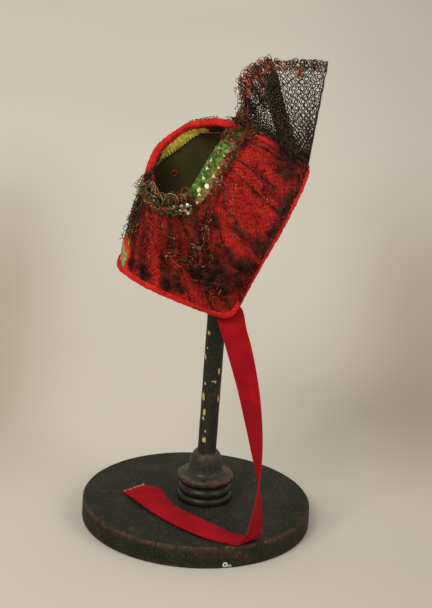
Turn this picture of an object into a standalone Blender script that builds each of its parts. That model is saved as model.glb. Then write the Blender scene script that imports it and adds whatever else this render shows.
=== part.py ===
"""Child's beguine cap of red wool under black net, with the turned wooden stand that holds it.

Metres, +Z up. The origin is the centre of the stand's underside, and the cap faces +X.
The cap is worked out in its own frame: u forward, s sideways and v up along the face edge, from
the point midway between the chin corners.
"""
import math

import bmesh
import bpy
from mathutils import Matrix, Vector

# Stand
BASE_RADIUS = 0.114
BASE_THICKNESS = 0.0234
BASE_EDGE_ROUND = 0.003
COLLAR_RADIUS = 0.028
COLLAR_HEIGHT = 0.051
POST_RADIUS = 0.00925
POST_FOOT_X = 0.0077
POST_FOOT_Y = 0.0055
POST_LEAN_DEG = 0.93
POST_FOOT_BEVEL = 0.001
SOCKET_DEPTH = 0.014

# Cap as it sits on the stand
CAP_FORWARD = 0.0192
CAP_ASIDE = 0.0205
CAP_CHIN_HEIGHT = 0.2374
CAP_YAW_DEG = 5.85
CAP_ROLL_DEG = 5.0
CAP_PITCH_DEG = 26.4

# Cap
CAP_HEIGHT = 0.1553
CAP_DEPTH = 0.129
CAP_HALF_WIDTH = 0.070
CAP_BULGE = 0.0045
WOOL_THICKNESS = 0.002
LINING_THICKNESS = 0.001
EDGE_BINDING_WIDTH = 0.006
CROWN_BINDING_WIDTH = 0.0075
BINDING_THICKNESS = 0.0011
GALLOON_WIDTH = 0.017
GALLOON_THICKNESS = 0.0009
RUCHE_WIDTH = 0.0085
RUCHE_THICKNESS = 0.001
RUCHE_RIPPLE = 0.0008
BORDER_RADIUS = 0.0032

# Net
NET_THICKNESS = 0.001
NET_BAR = 0.0016
NET_FOLD_HEIGHT = 0.0035
FAN_RADIUS = 0.116
FAN_START_DEG = 20.0
FAN_SWEEP_DEG = 62.0
FAN_WAVE = 0.006

# Tie
TIE_WIDTH = 0.027
TIE_THICKNESS = 0.0012
TIE_LAND_X = 0.0564
TIE_LAND_Y = -0.1012
TIE_BEND_RADIUS = 0.009
TIE_LIE_LENGTH = 0.157
TIE_LIE_DEG = 134.6
TIE_LIFT = 0.0022

GAP = 0.0003  # between neighbouring pieces
TRIM_GAP = 0.0009  # between a trim and the cloth under it, whose facets run differently

BASE_STEPS = 60
POST_STEPS = 24
CAP_STEPS = 60  # straight slices all round the cap
CAP_ROWS = 4

# The cap's outline, from the middle of the brow (station 0) by the chin corner (about 6) to the
# nape (12). u is a share of CAP_DEPTH, v of CAP_HEIGHT and s of CAP_HALF_WIDTH, for the outer edge
# and then for the rim of the crown opening.
OUTLINE = (
    # edge u, edge v, edge s, rim u, rim v, rim s
    (0.00, 1.00, 0.00, -0.64, 1.05, 0.00),
    (-0.03, 0.95, 0.43, -0.70, 1.00, 0.21),
    (-0.06, 0.84, 0.73, -0.75, 0.94, 0.42),
    (-0.07, 0.69, 0.89, -0.79, 0.86, 0.64),
    (-0.066, 0.49, 0.91, -0.82, 0.79, 0.84),
    (-0.04, 0.27, 0.84, -0.84, 0.73, 0.95),
    (-0.012, 0.08, 0.74, -0.857, 0.68, 1.00),
    (-0.06, 0.00, 0.72, -0.88, 0.64, 0.99),
    (-0.23, -0.02, 0.74, -0.91, 0.60, 0.93),
    (-0.45, -0.035, 0.73, -0.945, 0.56, 0.80),
    (-0.65, -0.06, 0.62, -0.975, 0.52, 0.57),
    (-0.78, -0.10, 0.34, -0.995, 0.495, 0.30),
    (-0.845, -0.13, 0.00, -1.00, 0.49, 0.00),
)
LAST = len(OUTLINE) - 1
LOOP = 2 * LAST  # stations all round: LAST to LOOP come back up the near side
BACK_SEAM = 11.35  # station of the seam between a side and the strip down the back
CROWN_BINDING_FIRST, CROWN_BINDING_LAST = -0.15, 12.25
CROWN_BINDING_INSIDE = 0.6  # how wide its inner fold is, as a share of its width
GALLOON_FAR_SPAN = (0.12, 11.9)
GALLOON_NEAR_SPAN = (12.8, 23.78)
GALLOON_INSIDE = 0.2
RUCHE_FIRST = 0.4
RUCHE_TOP = 0.7  # its upper edge below the rim, as a share of CROWN_BINDING_WIDTH
RUCHE_SCALLOP = 0.12
RUCHE_TAPER = ((0.0, 0.4), (0.15, 1.0), (0.85, 1.0), (1.0, 0.4))  # along it, share of its width

# Folds of the net along the sides: station where each runs, and its height as a share.
NET_FOLDS = ((0.9, 0.5), (2.4, 0.7), (3.8, 0.6), (5.2, 1.0), (6.6, 0.8), (8.0, 0.9), (9.4, 0.7))
NET_FOLD_STATIONS = 0.28  # how far a fold reaches to each side, in stations
NET_FIRST, NET_LAST = 0.4, 11.2
NET_ROWS = 3

# The fan's outer edge: how far round it is, and its radius as a share of FAN_RADIUS.
FAN_EDGE = (
    # share of the sweep, share of the radius
    (0.00, 1.00),
    (0.20, 1.01),
    (0.36, 1.03),
    (0.45, 1.09),
    (0.60, 1.05),
    (0.72, 0.98),
    (0.84, 0.83),
    (1.00, 0.76),
)
FAN_FOOT_FIRST, FAN_FOOT_REACH = 0.02, 0.74  # where the fan is sewn on, as shares of the ridge
FAN_FOOT_POWER = 2.5
FAN_COLUMNS, FAN_ROWS = 11, 5
FAN_CLOSED = (4, 5)  # columns that are a fold of several layers, with no holes

# The rope of looped thread beside the galloon: station, distance from the rim as a share of the
# way to the edge, and thickness as a share of BORDER_RADIUS.
BORDER_PATH = (
    # station, share, thickness
    (0.4, 0.25, 0.8),
    (1.2, 0.235, 1.1),
    (2.2, 0.22, 0.8),
    (3.2, 0.215, 1.0),
    (4.2, 0.215, 0.8),
    (5.2, 0.23, 1.1),
    (6.2, 0.27, 0.9),
    (7.0, 0.34, 1.0),
    (7.4, 0.42, 0.8),
    (7.6, 0.49, 1.1),
    (7.7, 0.56, 0.7),
)
BORDER_FAR_LAST = 4.4

# The tie as it hangs: how far down it is, its bow to the side as a share of the drop, and its turn.
TIE_HANG = (
    # share of the drop, bow, degrees of turn
    (0.00, 0.000, 6.0),
    (0.08, 0.010, -6.0),
    (0.17, 0.028, -13.0),
    (0.35, 0.053, -33.0),
    (0.53, 0.063, -52.0),
    (0.67, 0.061, -70.0),
    (0.80, 0.052, -92.0),
    (0.91, 0.033, -113.0),
    (0.97, 0.017, -122.0),
)
TIE_STATION = 6.6
TIE_SET_IN = 0.003
TIE_SEWN_WIDTH = 0.75

# The tie as it lies on the stand: shares of TIE_LIE_LENGTH, and sideways and width of TIE_WIDTH.
TIE_LIE = (
    # share of the length, sideways, width
    (0.05, 0.26, 1.00),
    (0.10, 0.44, 1.00),
    (0.15, 0.57, 1.00),
    (0.22, 0.62, 1.08),
    (0.40, 0.63, 1.12),
    (0.60, 0.63, 1.04),
    (0.73, 0.50, 1.15),
    (0.80, 0.37, 1.28),
    (0.88, 0.22, 1.33),
    (1.00, 0.22, 1.06),
)


def fresh_scene():
    """Empties the scene and makes the collection that holds the pieces."""
    for obj in list(bpy.data.objects):
        bpy.data.objects.remove(obj, do_unlink=True)
    pieces = bpy.data.collections.new("beguine_cap")
    bpy.context.scene.collection.children.link(pieces)
    return pieces


PIECES = fresh_scene()


def material(name, colour, roughness, metallic=0.0):
    made = bpy.data.materials.new(name)
    made.use_nodes = True
    shader = made.node_tree.nodes["Principled BSDF"]
    shader.inputs["Base Color"].default_value = (*colour, 1.0)
    shader.inputs["Roughness"].default_value = roughness
    shader.inputs["Metallic"].default_value = metallic
    return made


def add_object(name, data, finish):
    """Links a mesh or a curve as one of the pieces."""
    data.materials.append(finish)
    obj = bpy.data.objects.new(name, data)
    PIECES.objects.link(obj)
    return obj


def mesh_from(name, points, faces):
    mesh = bpy.data.meshes.new(name)
    mesh.from_pydata([tuple(p) for p in points], [], faces)
    mesh.update()
    return mesh


def add_solid(name, points, faces, finish):
    """A closed mesh with its normals outwards, smooth but for its sharp edges."""
    mesh = mesh_from(name, points, faces)
    work = bmesh.new()
    work.from_mesh(mesh)
    bmesh.ops.recalc_face_normals(work, faces=work.faces)
    work.to_mesh(mesh)
    work.free()
    mesh.shade_smooth()
    mesh.set_sharp_from_angle(angle=math.radians(40))
    return add_object(name, mesh, finish)


def even(first, last, count):
    return [first + (last - first) * i / count for i in range(count + 1)]


def spline(rows, at):
    """A smooth curve through the rows of a table, read at a fractional row number."""
    low = min(max(int(math.floor(at)), 0), len(rows) - 2)
    t = at - low
    p = [rows[min(max(low + k, 0), len(rows) - 1)] for k in (-1, 0, 1, 2)]
    return tuple(
        0.5 * (2 * b + (c - a) * t + (2 * a - 5 * b + 4 * c - d) * t * t
               + (3 * b - a - 3 * c + d) * t ** 3)
        for a, b, c, d in zip(*p)
    )


def read_table(rows, at):
    """Straight lines between the rows of a table, read by its first column."""
    for first, second in zip(rows, rows[1:]):
        if at <= second[0]:
            t = (at - first[0]) / (second[0] - first[0])
            return tuple(a + (b - a) * t for a, b in zip(first, second))
    return rows[-1]


def mirrored(row):
    u0, v0, s0, u1, v1, s1 = row
    return u0, v0, -s0, u1, v1, -s1


# The outline with two rows from over the middle line at each end, so that its spline runs smoothly.
FULL_OUTLINE = (mirrored(OUTLINE[2]), mirrored(OUTLINE[1])) + OUTLINE
FULL_OUTLINE += (mirrored(OUTLINE[LAST - 1]), mirrored(OUTLINE[LAST - 2]))


def outline_at(station):
    """Edge point and rim point of the cap at a station from 0 to LAST."""
    u0, v0, s0, u1, v1, s1 = spline(FULL_OUTLINE, station + 2)
    edge = Vector((u0 * CAP_DEPTH, s0 * CAP_HALF_WIDTH, v0 * CAP_HEIGHT))
    rim = Vector((u1 * CAP_DEPTH, s1 * CAP_HALF_WIDTH, v1 * CAP_HEIGHT))
    return edge, rim


def cap_surface(station, rise):
    """Point on the inner face of the wool: rise is 0 at the outer edge and 1 at the crown's rim."""
    edge, rim = outline_at(station)
    middle = Vector((-0.46 * CAP_DEPTH, 0.0, 0.45 * CAP_HEIGHT))
    out = ((edge + rim) / 2 - middle).normalized()
    return edge.lerp(rim, rise) + out * (CAP_BULGE * 4 * rise * (1 - rise))


def cap_matrix():
    """Places the cap's own frame: pitched forward, rolled to one side, then turned."""
    yaw = Matrix.Rotation(math.radians(CAP_YAW_DEG), 4, "Z")
    roll = Matrix.Rotation(math.radians(CAP_ROLL_DEG), 4, "X")
    pitch = Matrix.Rotation(math.radians(CAP_PITCH_DEG), 4, "Y")
    move = Matrix.Translation((CAP_FORWARD, CAP_ASIDE, CAP_CHIN_HEIGHT))
    return move @ yaw @ roll @ pitch


CAP_PLACE = cap_matrix()
CAP_CENTRE = CAP_PLACE @ Vector((-0.46 * CAP_DEPTH, 0.0, 0.4 * CAP_HEIGHT))


def surface_frame(station, rise):
    """Point, outward normal and direction towards the rim, on the far side of the cap."""
    step = 0.02
    here = cap_surface(station, rise)
    along = cap_surface(station + step, rise) - cap_surface(station - step, rise)
    up = cap_surface(station, rise + step) - cap_surface(station, rise - step)
    return here, along.cross(up).normalized(), up.normalized()


def folded(station):
    """The station from 0 to LAST that this one mirrors, and its side: 1 is far and -1 near."""
    if station < 0:
        return -station, -1
    if station > LAST:
        return LOOP - station, -1
    return station, 1


def slice_point(station, rise, out, onward):
    here, normal, up = surface_frame(folded(station)[0], rise)
    point = here + normal * out + up * onward
    return CAP_PLACE @ Vector((point.x, point.y * folded(station)[1], point.z))


def cap_point(station, rise, out, onward=0.0):
    """World point at a height out of the cloth, and onward past its rim or, if under 0, its edge.

    It runs straight from one slice of the cap to the next, so that all layers lie together.
    """
    slices = station * CAP_STEPS / LOOP
    low = math.floor(slices + 0.001)
    first = slice_point(low * LOOP / CAP_STEPS, rise, out, onward)
    second = slice_point((low + 1) * LOOP / CAP_STEPS, rise, out, onward)
    return first.lerp(second, max(slices - low, 0.0))


def cloth_length(station):
    edge, rim = outline_at(folded(station)[0])
    return (rim - edge).length


def below_rim(station, distance):
    """The rise that lies a distance below the crown's rim."""
    return 1 - distance / cloth_length(station)


def above_edge(station, distance):
    return distance / cloth_length(station)


def stations_between(first, last):
    """Both ends and every slice of the cap between them that isn't close to an end."""
    step = LOOP / CAP_STEPS
    slices = [k * step for k in range(-CAP_STEPS, CAP_STEPS + 1)]
    return [first] + [s for s in slices if first + step / 5 < s < last - step / 5] + [last]


def cap_panel(name, finish, stations, outer, inner, closed=False):
    """A wall of cloth from the outer edge to the crown's rim, between two heights."""
    rises = even(0.0, 1.0, CAP_ROWS)
    rows, count = len(rises), len(stations)
    points = []
    for station in stations:
        points += [cap_point(station, rise, outer) for rise in rises]
        points += [cap_point(station, rise, inner) for rise in rises]
    faces = []
    for i in range(count if closed else count - 1):
        a, b = i * 2 * rows, (i + 1) % count * 2 * rows
        for j in range(rows - 1):
            faces += [(a + j, b + j, b + j + 1), (a + j, b + j + 1, a + j + 1)]
            c, d = a + rows + j, b + rows + j
            faces += [(c, d + 1, d), (c, c + 1, d + 1)]
        faces.append((a, a + rows, b + rows, b))
        faces.append((a + rows - 1, b + rows - 1, b + 2 * rows - 1, a + 2 * rows - 1))
    if not closed:
        for end in (0, (count - 1) * 2 * rows):
            for j in range(end, end + rows - 1):
                faces.append((j, j + 1, j + 1 + rows, j + rows))
    return add_solid(name, points, faces, finish)


def sweep(name, finish, frames, section, way=1, closed=False):
    """A solid of one section along many frames. A frame turns a section point into a world point.

    Each facet is split from its low x to the next frame's high x, or the other way round where
    way is -1, so that both faces of a thin wall twist together.
    """
    sides, count = len(section), len(frames)
    points = [frame(x, y) for frame in frames for x, y in section]
    faces = []
    for i in range(count if closed else count - 1):
        a, b = i * sides, (i + 1) % count * sides
        for k in range(sides):
            m = (k + 1) % sides
            if way * (section[m][0] - section[k][0]) > 0:
                faces += [(a + k, b + k, b + m), (a + k, b + m, a + m)]
            else:
                faces += [(a + k, b + k, a + m), (b + k, b + m, a + m)]
    if not closed:
        faces.append(tuple(range(sides)))
        faces.append(tuple(range((count - 1) * sides, count * sides)))
    return add_solid(name, points, faces, finish)


def turned(name, finish, profile, centre, steps, lean_deg=0.0):
    """A turned piece: the profile runs from the axis down its outer side to the axis again."""
    mesh = bpy.data.meshes.new(name)
    edges = [(i, i + 1) for i in range(len(profile) - 1)]
    mesh.from_pydata([(r, 0.0, z) for r, z in profile], edges, [])
    obj = add_object(name, mesh, finish)
    obj.location = centre
    obj.rotation_euler = (0.0, math.radians(lean_deg), 0.0)
    screw = obj.modifiers.new("turn", "SCREW")
    screw.steps = steps
    screw.render_steps = steps
    screw.use_merge_vertices = True
    screw.merge_threshold = 0.00001
    screw.use_smooth_shade = True
    return obj


def arc(centre_r, centre_z, radius, first_deg, last_deg, count):
    """Points of a rounding in a turned profile, its angles from the outward axis."""
    points = []
    for degrees in even(first_deg, last_deg, count):
        a = math.radians(degrees)
        points.append((centre_r + radius * math.cos(a), centre_z + radius * math.sin(a)))
    return points


# Materials

WOOD = material("painted_wood", (0.045, 0.045, 0.034), 0.55)
WORN_WOOD = material("worn_wood", (0.055, 0.042, 0.032), 0.5)
RED_WOOL = material("red_wool", (0.33, 0.022, 0.02), 0.95)
OLIVE_LINING = material("olive_lining", (0.052, 0.047, 0.016), 0.9)
BRIGHT_RED = material("red_binding", (0.58, 0.03, 0.022), 0.85)
YELLOW_GREEN = material("yellow_green_ribbon", (0.27, 0.21, 0.035), 0.8)
GREEN_GALLOON = material("green_galloon", (0.10, 0.16, 0.035), 0.6)
BLACK_NET = material("black_net", (0.02, 0.014, 0.012), 0.9)
THREADS = material("coloured_threads", (0.12, 0.06, 0.035), 0.9)
RED_TIE = material("red_tie", (0.30, 0.012, 0.018), 0.8)


# Stand


def build_base():
    r, h, c = BASE_RADIUS, BASE_THICKNESS, BASE_EDGE_ROUND
    profile = [(0.0, h)]
    profile += arc(r - c, h - c, c, 90, 0, 2)
    profile += arc(r - c, c, c, 0, -90, 2)
    profile.append((0.0, 0.0))
    return turned("stand_base", WOOD, profile, (0.0, 0.0, 0.0), BASE_STEPS)


def build_collar():
    """Foot ring, neck, flange and bell turned in one, with a socket for the post."""
    r, h = COLLAR_RADIUS, COLLAR_HEIGHT
    bore = POST_RADIUS + 2 * GAP
    profile = [(0.0, h - SOCKET_DEPTH), (bore, h - SOCKET_DEPTH), (bore, h)]
    profile += [(bore + 0.04 * r, h), (0.47 * r, 0.95 * h), (0.54 * r, 0.86 * h)]
    profile += [(0.60 * r, 0.62 * h), (0.72 * r, 0.545 * h), (0.95 * r, 0.52 * h)]
    profile += [(r, 0.47 * h), (0.94 * r, 0.39 * h), (0.86 * r, 0.37 * h), (0.86 * r, 0.31 * h)]
    profile += [(0.93 * r, 0.27 * h), (0.93 * r, 0.19 * h), (0.87 * r, 0.15 * h)]
    profile += [(0.98 * r, 0.10 * h), (0.96 * r, 0.0), (0.0, 0.0)]
    place = (POST_FOOT_X, POST_FOOT_Y, BASE_THICKNESS + GAP)
    return turned("stand_collar", WORN_WOOD, profile, place, POST_STEPS)


def post_axis():
    """Foot of the post in its socket, and the direction in which it leans."""
    lean = math.radians(POST_LEAN_DEG)
    socket = BASE_THICKNESS + COLLAR_HEIGHT - SOCKET_DEPTH
    foot = Vector((POST_FOOT_X, POST_FOOT_Y, socket + 3 * GAP))
    return foot, Vector((math.sin(lean), 0.0, math.cos(lean)))


def post_top_centre():
    """Height along the post of its rounded top's centre, where the top meets the cap's inside."""
    foot, axis = post_axis()
    reach = POST_RADIUS + GAP
    trim_depth = TRIM_GAP + BINDING_THICKNESS
    heights = []
    for station in even(-4.0, 4.0, 2 * CAP_STEPS):
        for rise in even(0.0, 1.0, CAP_STEPS):
            trimmed = rise > below_rim(station, CROWN_BINDING_WIDTH + RUCHE_WIDTH)
            inner = -LINING_THICKNESS - GAP - (trim_depth if trimmed else 0.0)
            offset = cap_point(station, rise, inner) - foot
            height = offset.dot(axis)
            aside = (offset - axis * height).length
            if aside < reach:
                heights.append(height - math.sqrt(reach ** 2 - aside ** 2))
    return min(heights)


def build_post():
    """Plain post with a rounded top, hidden under the front of the crown."""
    foot, _ = post_axis()
    centre = post_top_centre()
    r = POST_RADIUS
    profile = [(0.0, centre + r)]
    profile += arc(0.0, centre, r, 75, 0, 5)
    profile += [(r, POST_FOOT_BEVEL), (r - POST_FOOT_BEVEL, 0.0), (0.0, 0.0)]
    return turned("stand_post", WOOD, profile, foot, POST_STEPS, POST_LEAN_DEG)


# Cap: wool, lining and bindings


def half_seam(station):
    """Half of a seam's width in stations, where the slices lie closest."""
    step = LOOP / CAP_STEPS
    moves = [(cap_surface(station + step, r) - cap_surface(station, r)).length for r in (0.0, 1.0)]
    return GAP * step / min(moves)


def build_wool():
    """Two sides that meet in a seam over the crown, and a strip down the back between them."""
    top = half_seam(0.0)
    back = half_seam(BACK_SEAM)
    for name, first, last in (
        ("wool_side_far", top, BACK_SEAM - back),
        ("wool_side_near", LOOP - BACK_SEAM + back, LOOP - top),
    ):
        cap_panel(name, RED_WOOL, stations_between(first, last), WOOL_THICKNESS, 0.0)
    stations = stations_between(BACK_SEAM + back, LOOP - BACK_SEAM - back)
    cap_panel("back_strip", YELLOW_GREEN, stations, WOOL_THICKNESS, 0.0)


def build_lining():
    outer, inner = -GAP, -GAP - LINING_THICKNESS
    stations = even(0.0, LOOP, CAP_STEPS)[:-1]
    return cap_panel("lining", OLIVE_LINING, stations, outer, inner, closed=True)


def fold_section(width, inside_width, t):
    """Section of a trim folded over the cap's layers: x runs off them, y out of them."""
    outer = WOOL_THICKNESS + TRIM_GAP
    inner = -GAP - LINING_THICKNESS - TRIM_GAP
    edge = TRIM_GAP
    return [
        (-width, outer),
        (-width, outer + t),
        (edge / 2, outer + t),
        (edge + t, outer - t / 2),
        (edge + t, inner + t / 2),
        (edge / 2, inner - t),
        (-inside_width, inner - t),
        (-inside_width, inner),
        (edge, inner),
        (edge, outer),
    ]


def edge_frame(station):
    """A frame at the outer edge of the cap: x goes off the cloth, y out of it."""
    def place(x, y):
        rise = above_edge(station, max(-x, 0.0))
        return cap_point(station, rise, y, onward=min(-x, 0.0))
    return place


def rim_frame(station):
    """A frame at the rim of the crown opening."""
    def place(x, y):
        rise = below_rim(station, max(-x, 0.0))
        return cap_point(station, rise, y, onward=max(x, 0.0))
    return place


def build_edge_binding():
    """Bright red binding folded over the face and neck edges, one closed loop."""
    frames = [edge_frame(s) for s in even(0.0, LOOP, CAP_STEPS)[:-1]]
    section = fold_section(EDGE_BINDING_WIDTH, EDGE_BINDING_WIDTH, BINDING_THICKNESS)
    return sweep("edge_binding", BRIGHT_RED, frames, section, way=-1, closed=True)


def build_crown_binding():
    """Red binding folded over the far half of the crown's rim, and a little past its ends."""
    frames = [rim_frame(s) for s in stations_between(CROWN_BINDING_FIRST, CROWN_BINDING_LAST)]
    inside = CROWN_BINDING_INSIDE * CROWN_BINDING_WIDTH
    section = fold_section(CROWN_BINDING_WIDTH, inside, BINDING_THICKNESS)
    return sweep("crown_binding", BRIGHT_RED, frames, section)


def build_ruche():
    """Gathered ribbon inside the far rim, with a scalloped lower edge."""
    inner = -GAP - LINING_THICKNESS - TRIM_GAP
    slices = stations_between(RUCHE_FIRST, LAST - RUCHE_FIRST)
    stations = [s for a, b in zip(slices, slices[1:]) for s in (a, (a + b) / 2)] + [slices[-1]]
    frames = []
    for count, station in enumerate(stations):
        width = RUCHE_WIDTH * read_table(RUCHE_TAPER, count / (len(stations) - 1))[1]
        width *= 1 + RUCHE_SCALLOP * math.sin(count * math.pi / 3)
        ripple = RUCHE_RIPPLE if count % 2 else 0.0

        def place(x, y, station=station, width=width, ripple=ripple):
            distance = RUCHE_TOP * CROWN_BINDING_WIDTH + x * width
            return cap_point(station, below_rim(station, distance), inner - ripple - y)

        frames.append(place)
    section = [(0.0, 0.0), (1.0, 0.0), (1.0, RUCHE_THICKNESS), (0.0, RUCHE_THICKNESS)]
    return sweep("ruche", YELLOW_GREEN, frames, section, way=-1)


def build_galloons():
    """Green galloon outside the rim: under the binding on the far side, over the rim on the near."""
    low = WOOL_THICKNESS + TRIM_GAP
    high = low + GALLOON_THICKNESS
    first, last = -CROWN_BINDING_WIDTH - GAP, -CROWN_BINDING_WIDTH - GALLOON_WIDTH
    far = [(first, low), (first, high), (last, high), (last, low)]
    frames = [rim_frame(s) for s in stations_between(*GALLOON_FAR_SPAN)]
    sweep("galloon_far", GREEN_GALLOON, frames, far)
    near = fold_section(GALLOON_WIDTH, GALLOON_INSIDE * GALLOON_WIDTH, GALLOON_THICKNESS)
    frames = [rim_frame(s) for s in stations_between(*GALLOON_NEAR_SPAN)]
    sweep("galloon_near", GREEN_GALLOON, frames, near)


# Net

NET_LOW = WOOL_THICKNESS + TRIM_GAP  # underside of the net on the sides
NET_HEM = EDGE_BINDING_WIDTH + 2 * GAP  # where it starts above the edge


def facing_out(mesh, centre):
    """Turns an open surface so that its normals point away from a centre."""
    total = sum((f.center - centre).dot(f.normal) * f.area for f in mesh.polygons)
    if total < 0:
        mesh.flip_normals()


def add_net(name, points, rows, closed_cell, bar, offset):
    """Cuts the cells of a grid through, but for its closed ones, and gives it its thickness."""
    columns = rows + 1
    faces = [
        (i + j, i + columns + j, i + columns + j + 1, i + j + 1)
        for i in range(0, len(points) - columns, columns) for j in range(rows)
    ]
    mesh = mesh_from(name, points, faces)
    facing_out(mesh, CAP_CENTRE)
    work = bmesh.new()
    work.from_mesh(mesh)
    cut = [f for f in work.faces if not closed_cell(f.index // rows, f.index % rows)]
    bmesh.ops.inset_individual(work, faces=cut, thickness=bar, use_even_offset=True)
    bmesh.ops.delete(work, geom=cut, context="FACES")
    work.to_mesh(mesh)
    work.free()
    obj = add_object(name, mesh, BLACK_NET)
    wall = obj.modifiers.new("wall", "SOLIDIFY")
    wall.thickness = NET_THICKNESS
    wall.offset = offset
    return obj


def fold_height(station):
    """Height of the net's folds above the wool at a station."""
    total = 0.0
    for place, share in NET_FOLDS:
        total += share * math.exp(-((folded(station)[0] - place) / NET_FOLD_STATIONS) ** 2)
    return NET_FOLD_HEIGHT * min(total, 1.0)


def net_height(station, share):
    """Outer face of the net on a side, share of the way from the binding to the galloon."""
    return NET_LOW + NET_THICKNESS + fold_height(station) * math.sin(math.pi * share)


def build_net_side(name, first, last, band):
    """Coarse net over one side, from the binding to the galloon, with its folds."""
    points = []
    for station in stations_between(first, last):
        low_end, high_end = above_edge(station, NET_HEM), below_rim(station, band)
        for share in even(0.0, 1.0, NET_ROWS):
            rise = low_end + (high_end - low_end) * share
            points.append(cap_point(station, rise, net_height(station, share)))
    return add_net(name, points, NET_ROWS, lambda column, row: (column + row) % 2, NET_BAR, -1.0)


def fan_point(share, height):
    """Point of the fan: share goes round from the face edge to the back, height from foot to tip."""
    rise = FAN_FOOT_FIRST + FAN_FOOT_REACH * share ** FAN_FOOT_POWER
    here, normal, _ = surface_frame(0.0, rise)
    clear = WOOL_THICKNESS + TRIM_GAP
    if rise < above_edge(0.0, EDGE_BINDING_WIDTH + TRIM_GAP):
        clear += BINDING_THICKNESS + GAP
    foot = here + normal * clear
    angle = math.radians(FAN_START_DEG + FAN_SWEEP_DEG * share)
    reach = FAN_RADIUS * read_table(FAN_EDGE, share)[1]
    tip = cap_surface(0.0, 0.0) + Vector((-math.sin(angle), 0.0, math.cos(angle))) * reach
    point = foot.lerp(tip, height)
    point.y = FAN_WAVE * height * math.sin(share * 5.5 * math.pi)
    return CAP_PLACE @ point


def build_net_fan():
    """Frill of net gathered on the ridge, standing up as a fan."""
    points = [
        fan_point(share, height)
        for share in even(0.0, 1.0, FAN_COLUMNS) for height in even(0.0, 1.0, FAN_ROWS)
    ]

    def closed_cell(column, row):
        return row == 0 or column in FAN_CLOSED

    return add_net("net_fan", points, FAN_ROWS, closed_cell, 0.7 * NET_BAR, 0.0)


def rope(name, finish, points, radii):
    """A tube of varying thickness through the points, with closed ends."""
    curve = bpy.data.curves.new(name, "CURVE")
    curve.dimensions = "3D"
    curve.bevel_depth = 1.0
    curve.bevel_resolution = 1
    curve.use_fill_caps = True
    line = curve.splines.new("POLY")
    line.points.add(len(points) - 1)
    for point, place, radius in zip(line.points, points, radii):
        point.co = (*place, 1.0)
        point.radius = radius
    return add_object(name, curve, finish)


def build_border(name, near, last, band):
    """Looped coloured thread along the net's edge, as a lumpy rope."""
    points, radii = [], []
    for station in stations_between(BORDER_PATH[0][0], last):
        _, down, thick = read_table(BORDER_PATH, station)
        rise = below_rim(station, down * cloth_length(station) + band)
        low_end, high_end = above_edge(station, NET_HEM), below_rim(station, band + GALLOON_WIDTH)
        share = min((rise - low_end) / (high_end - low_end), 1.0)
        radius = BORDER_RADIUS * thick
        height = net_height(station, share) + GAP + radius
        points.append(cap_point(LOOP - station if near else station, rise, height))
        radii.append(radius)
    return rope(name, THREADS, points, radii)


# Tie


def tie_rows():
    """Middle, direction across and width share of the tie, from the chin corner to its cut end."""
    out = -GAP - LINING_THICKNESS - TRIM_GAP - BINDING_THICKNESS - TIE_SET_IN
    station = LOOP - TIE_STATION
    sewn = cap_point(station, above_edge(station, EDGE_BINDING_WIDTH), out)
    top = cap_point(station, 0.0, out, onward=-2 * BINDING_THICKNESS)
    table = BASE_THICKNESS + GAP + TIE_THICKNESS / 2
    land = Vector((TIE_LAND_X, TIE_LAND_Y, table + TIE_BEND_RADIUS))
    drop = top.z - land.z
    turn = math.radians(TIE_HANG[0][2])
    rows = [(sewn, Vector((math.cos(turn), math.sin(turn), 0.0)), TIE_SEWN_WIDTH)]
    for share, bow, turn_deg in TIE_HANG:
        turn = math.radians(turn_deg)
        middle = top.lerp(land, share) + Vector((bow * drop, 0.0, 0.0))
        rows.append((middle, Vector((math.cos(turn), math.sin(turn), 0.0)), 1.0))
    heading = math.radians(TIE_LIE_DEG)
    ahead = Vector((math.cos(heading), math.sin(heading), 0.0))
    across = Vector((-math.sin(heading), math.cos(heading), 0.0))
    for degrees in (0, 30, 60, 90):
        a = math.radians(degrees)
        forward, down = 1 - math.cos(a), math.sin(a)
        middle = land + (ahead * forward - Vector((0, 0, down))) * TIE_BEND_RADIUS
        rows.append((middle, across, 1.0))
    start = rows[-1][0]
    for share, sideways, width in TIE_LIE:
        lift = Vector((0.0, 0.0, TIE_LIFT * abs(math.sin(share * 2 * math.pi))))
        middle = start + ahead * (share * TIE_LIE_LENGTH) + across * (sideways * TIE_WIDTH) + lift
        rows.append((middle, across, width))
    return rows


def build_tie():
    """Red ribbon, hanging from the near chin corner and lying on the base."""
    rows = tie_rows()
    frames = []
    for k, (middle, across, width) in enumerate(rows):
        before, after = rows[max(k - 1, 0)][0], rows[min(k + 1, len(rows) - 1)][0]
        face = (after - before).cross(across).normalized()

        def place(x, y, middle=middle, across=across * width, face=face):
            return middle + across * x + face * y

        frames.append(place)
    w, t = TIE_WIDTH / 2, TIE_THICKNESS / 2
    section = [(-w, -t), (0.0, -t), (w, -t), (w, t), (0.0, t), (-w, t)]
    return sweep("tie", RED_TIE, frames, section)


build_base()
build_collar()
build_post()
build_wool()
build_lining()
build_edge_binding()
build_crown_binding()
build_ruche()
build_galloons()
build_net_side("net_side_near", LOOP - NET_LAST, LOOP - NET_FIRST, GALLOON_WIDTH + GAP)
build_net_side("net_side_far", NET_FIRST, NET_LAST, CROWN_BINDING_WIDTH + GALLOON_WIDTH + GAP)
build_net_fan()
build_border("border_near", True, BORDER_PATH[-1][0], 0.0)
build_border("border_far", False, BORDER_FAR_LAST, CROWN_BINDING_WIDTH)
build_tie()
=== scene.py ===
import math
from functools import reduce

import bpy
import numpy as np
from mathutils import Matrix, Vector


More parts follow.
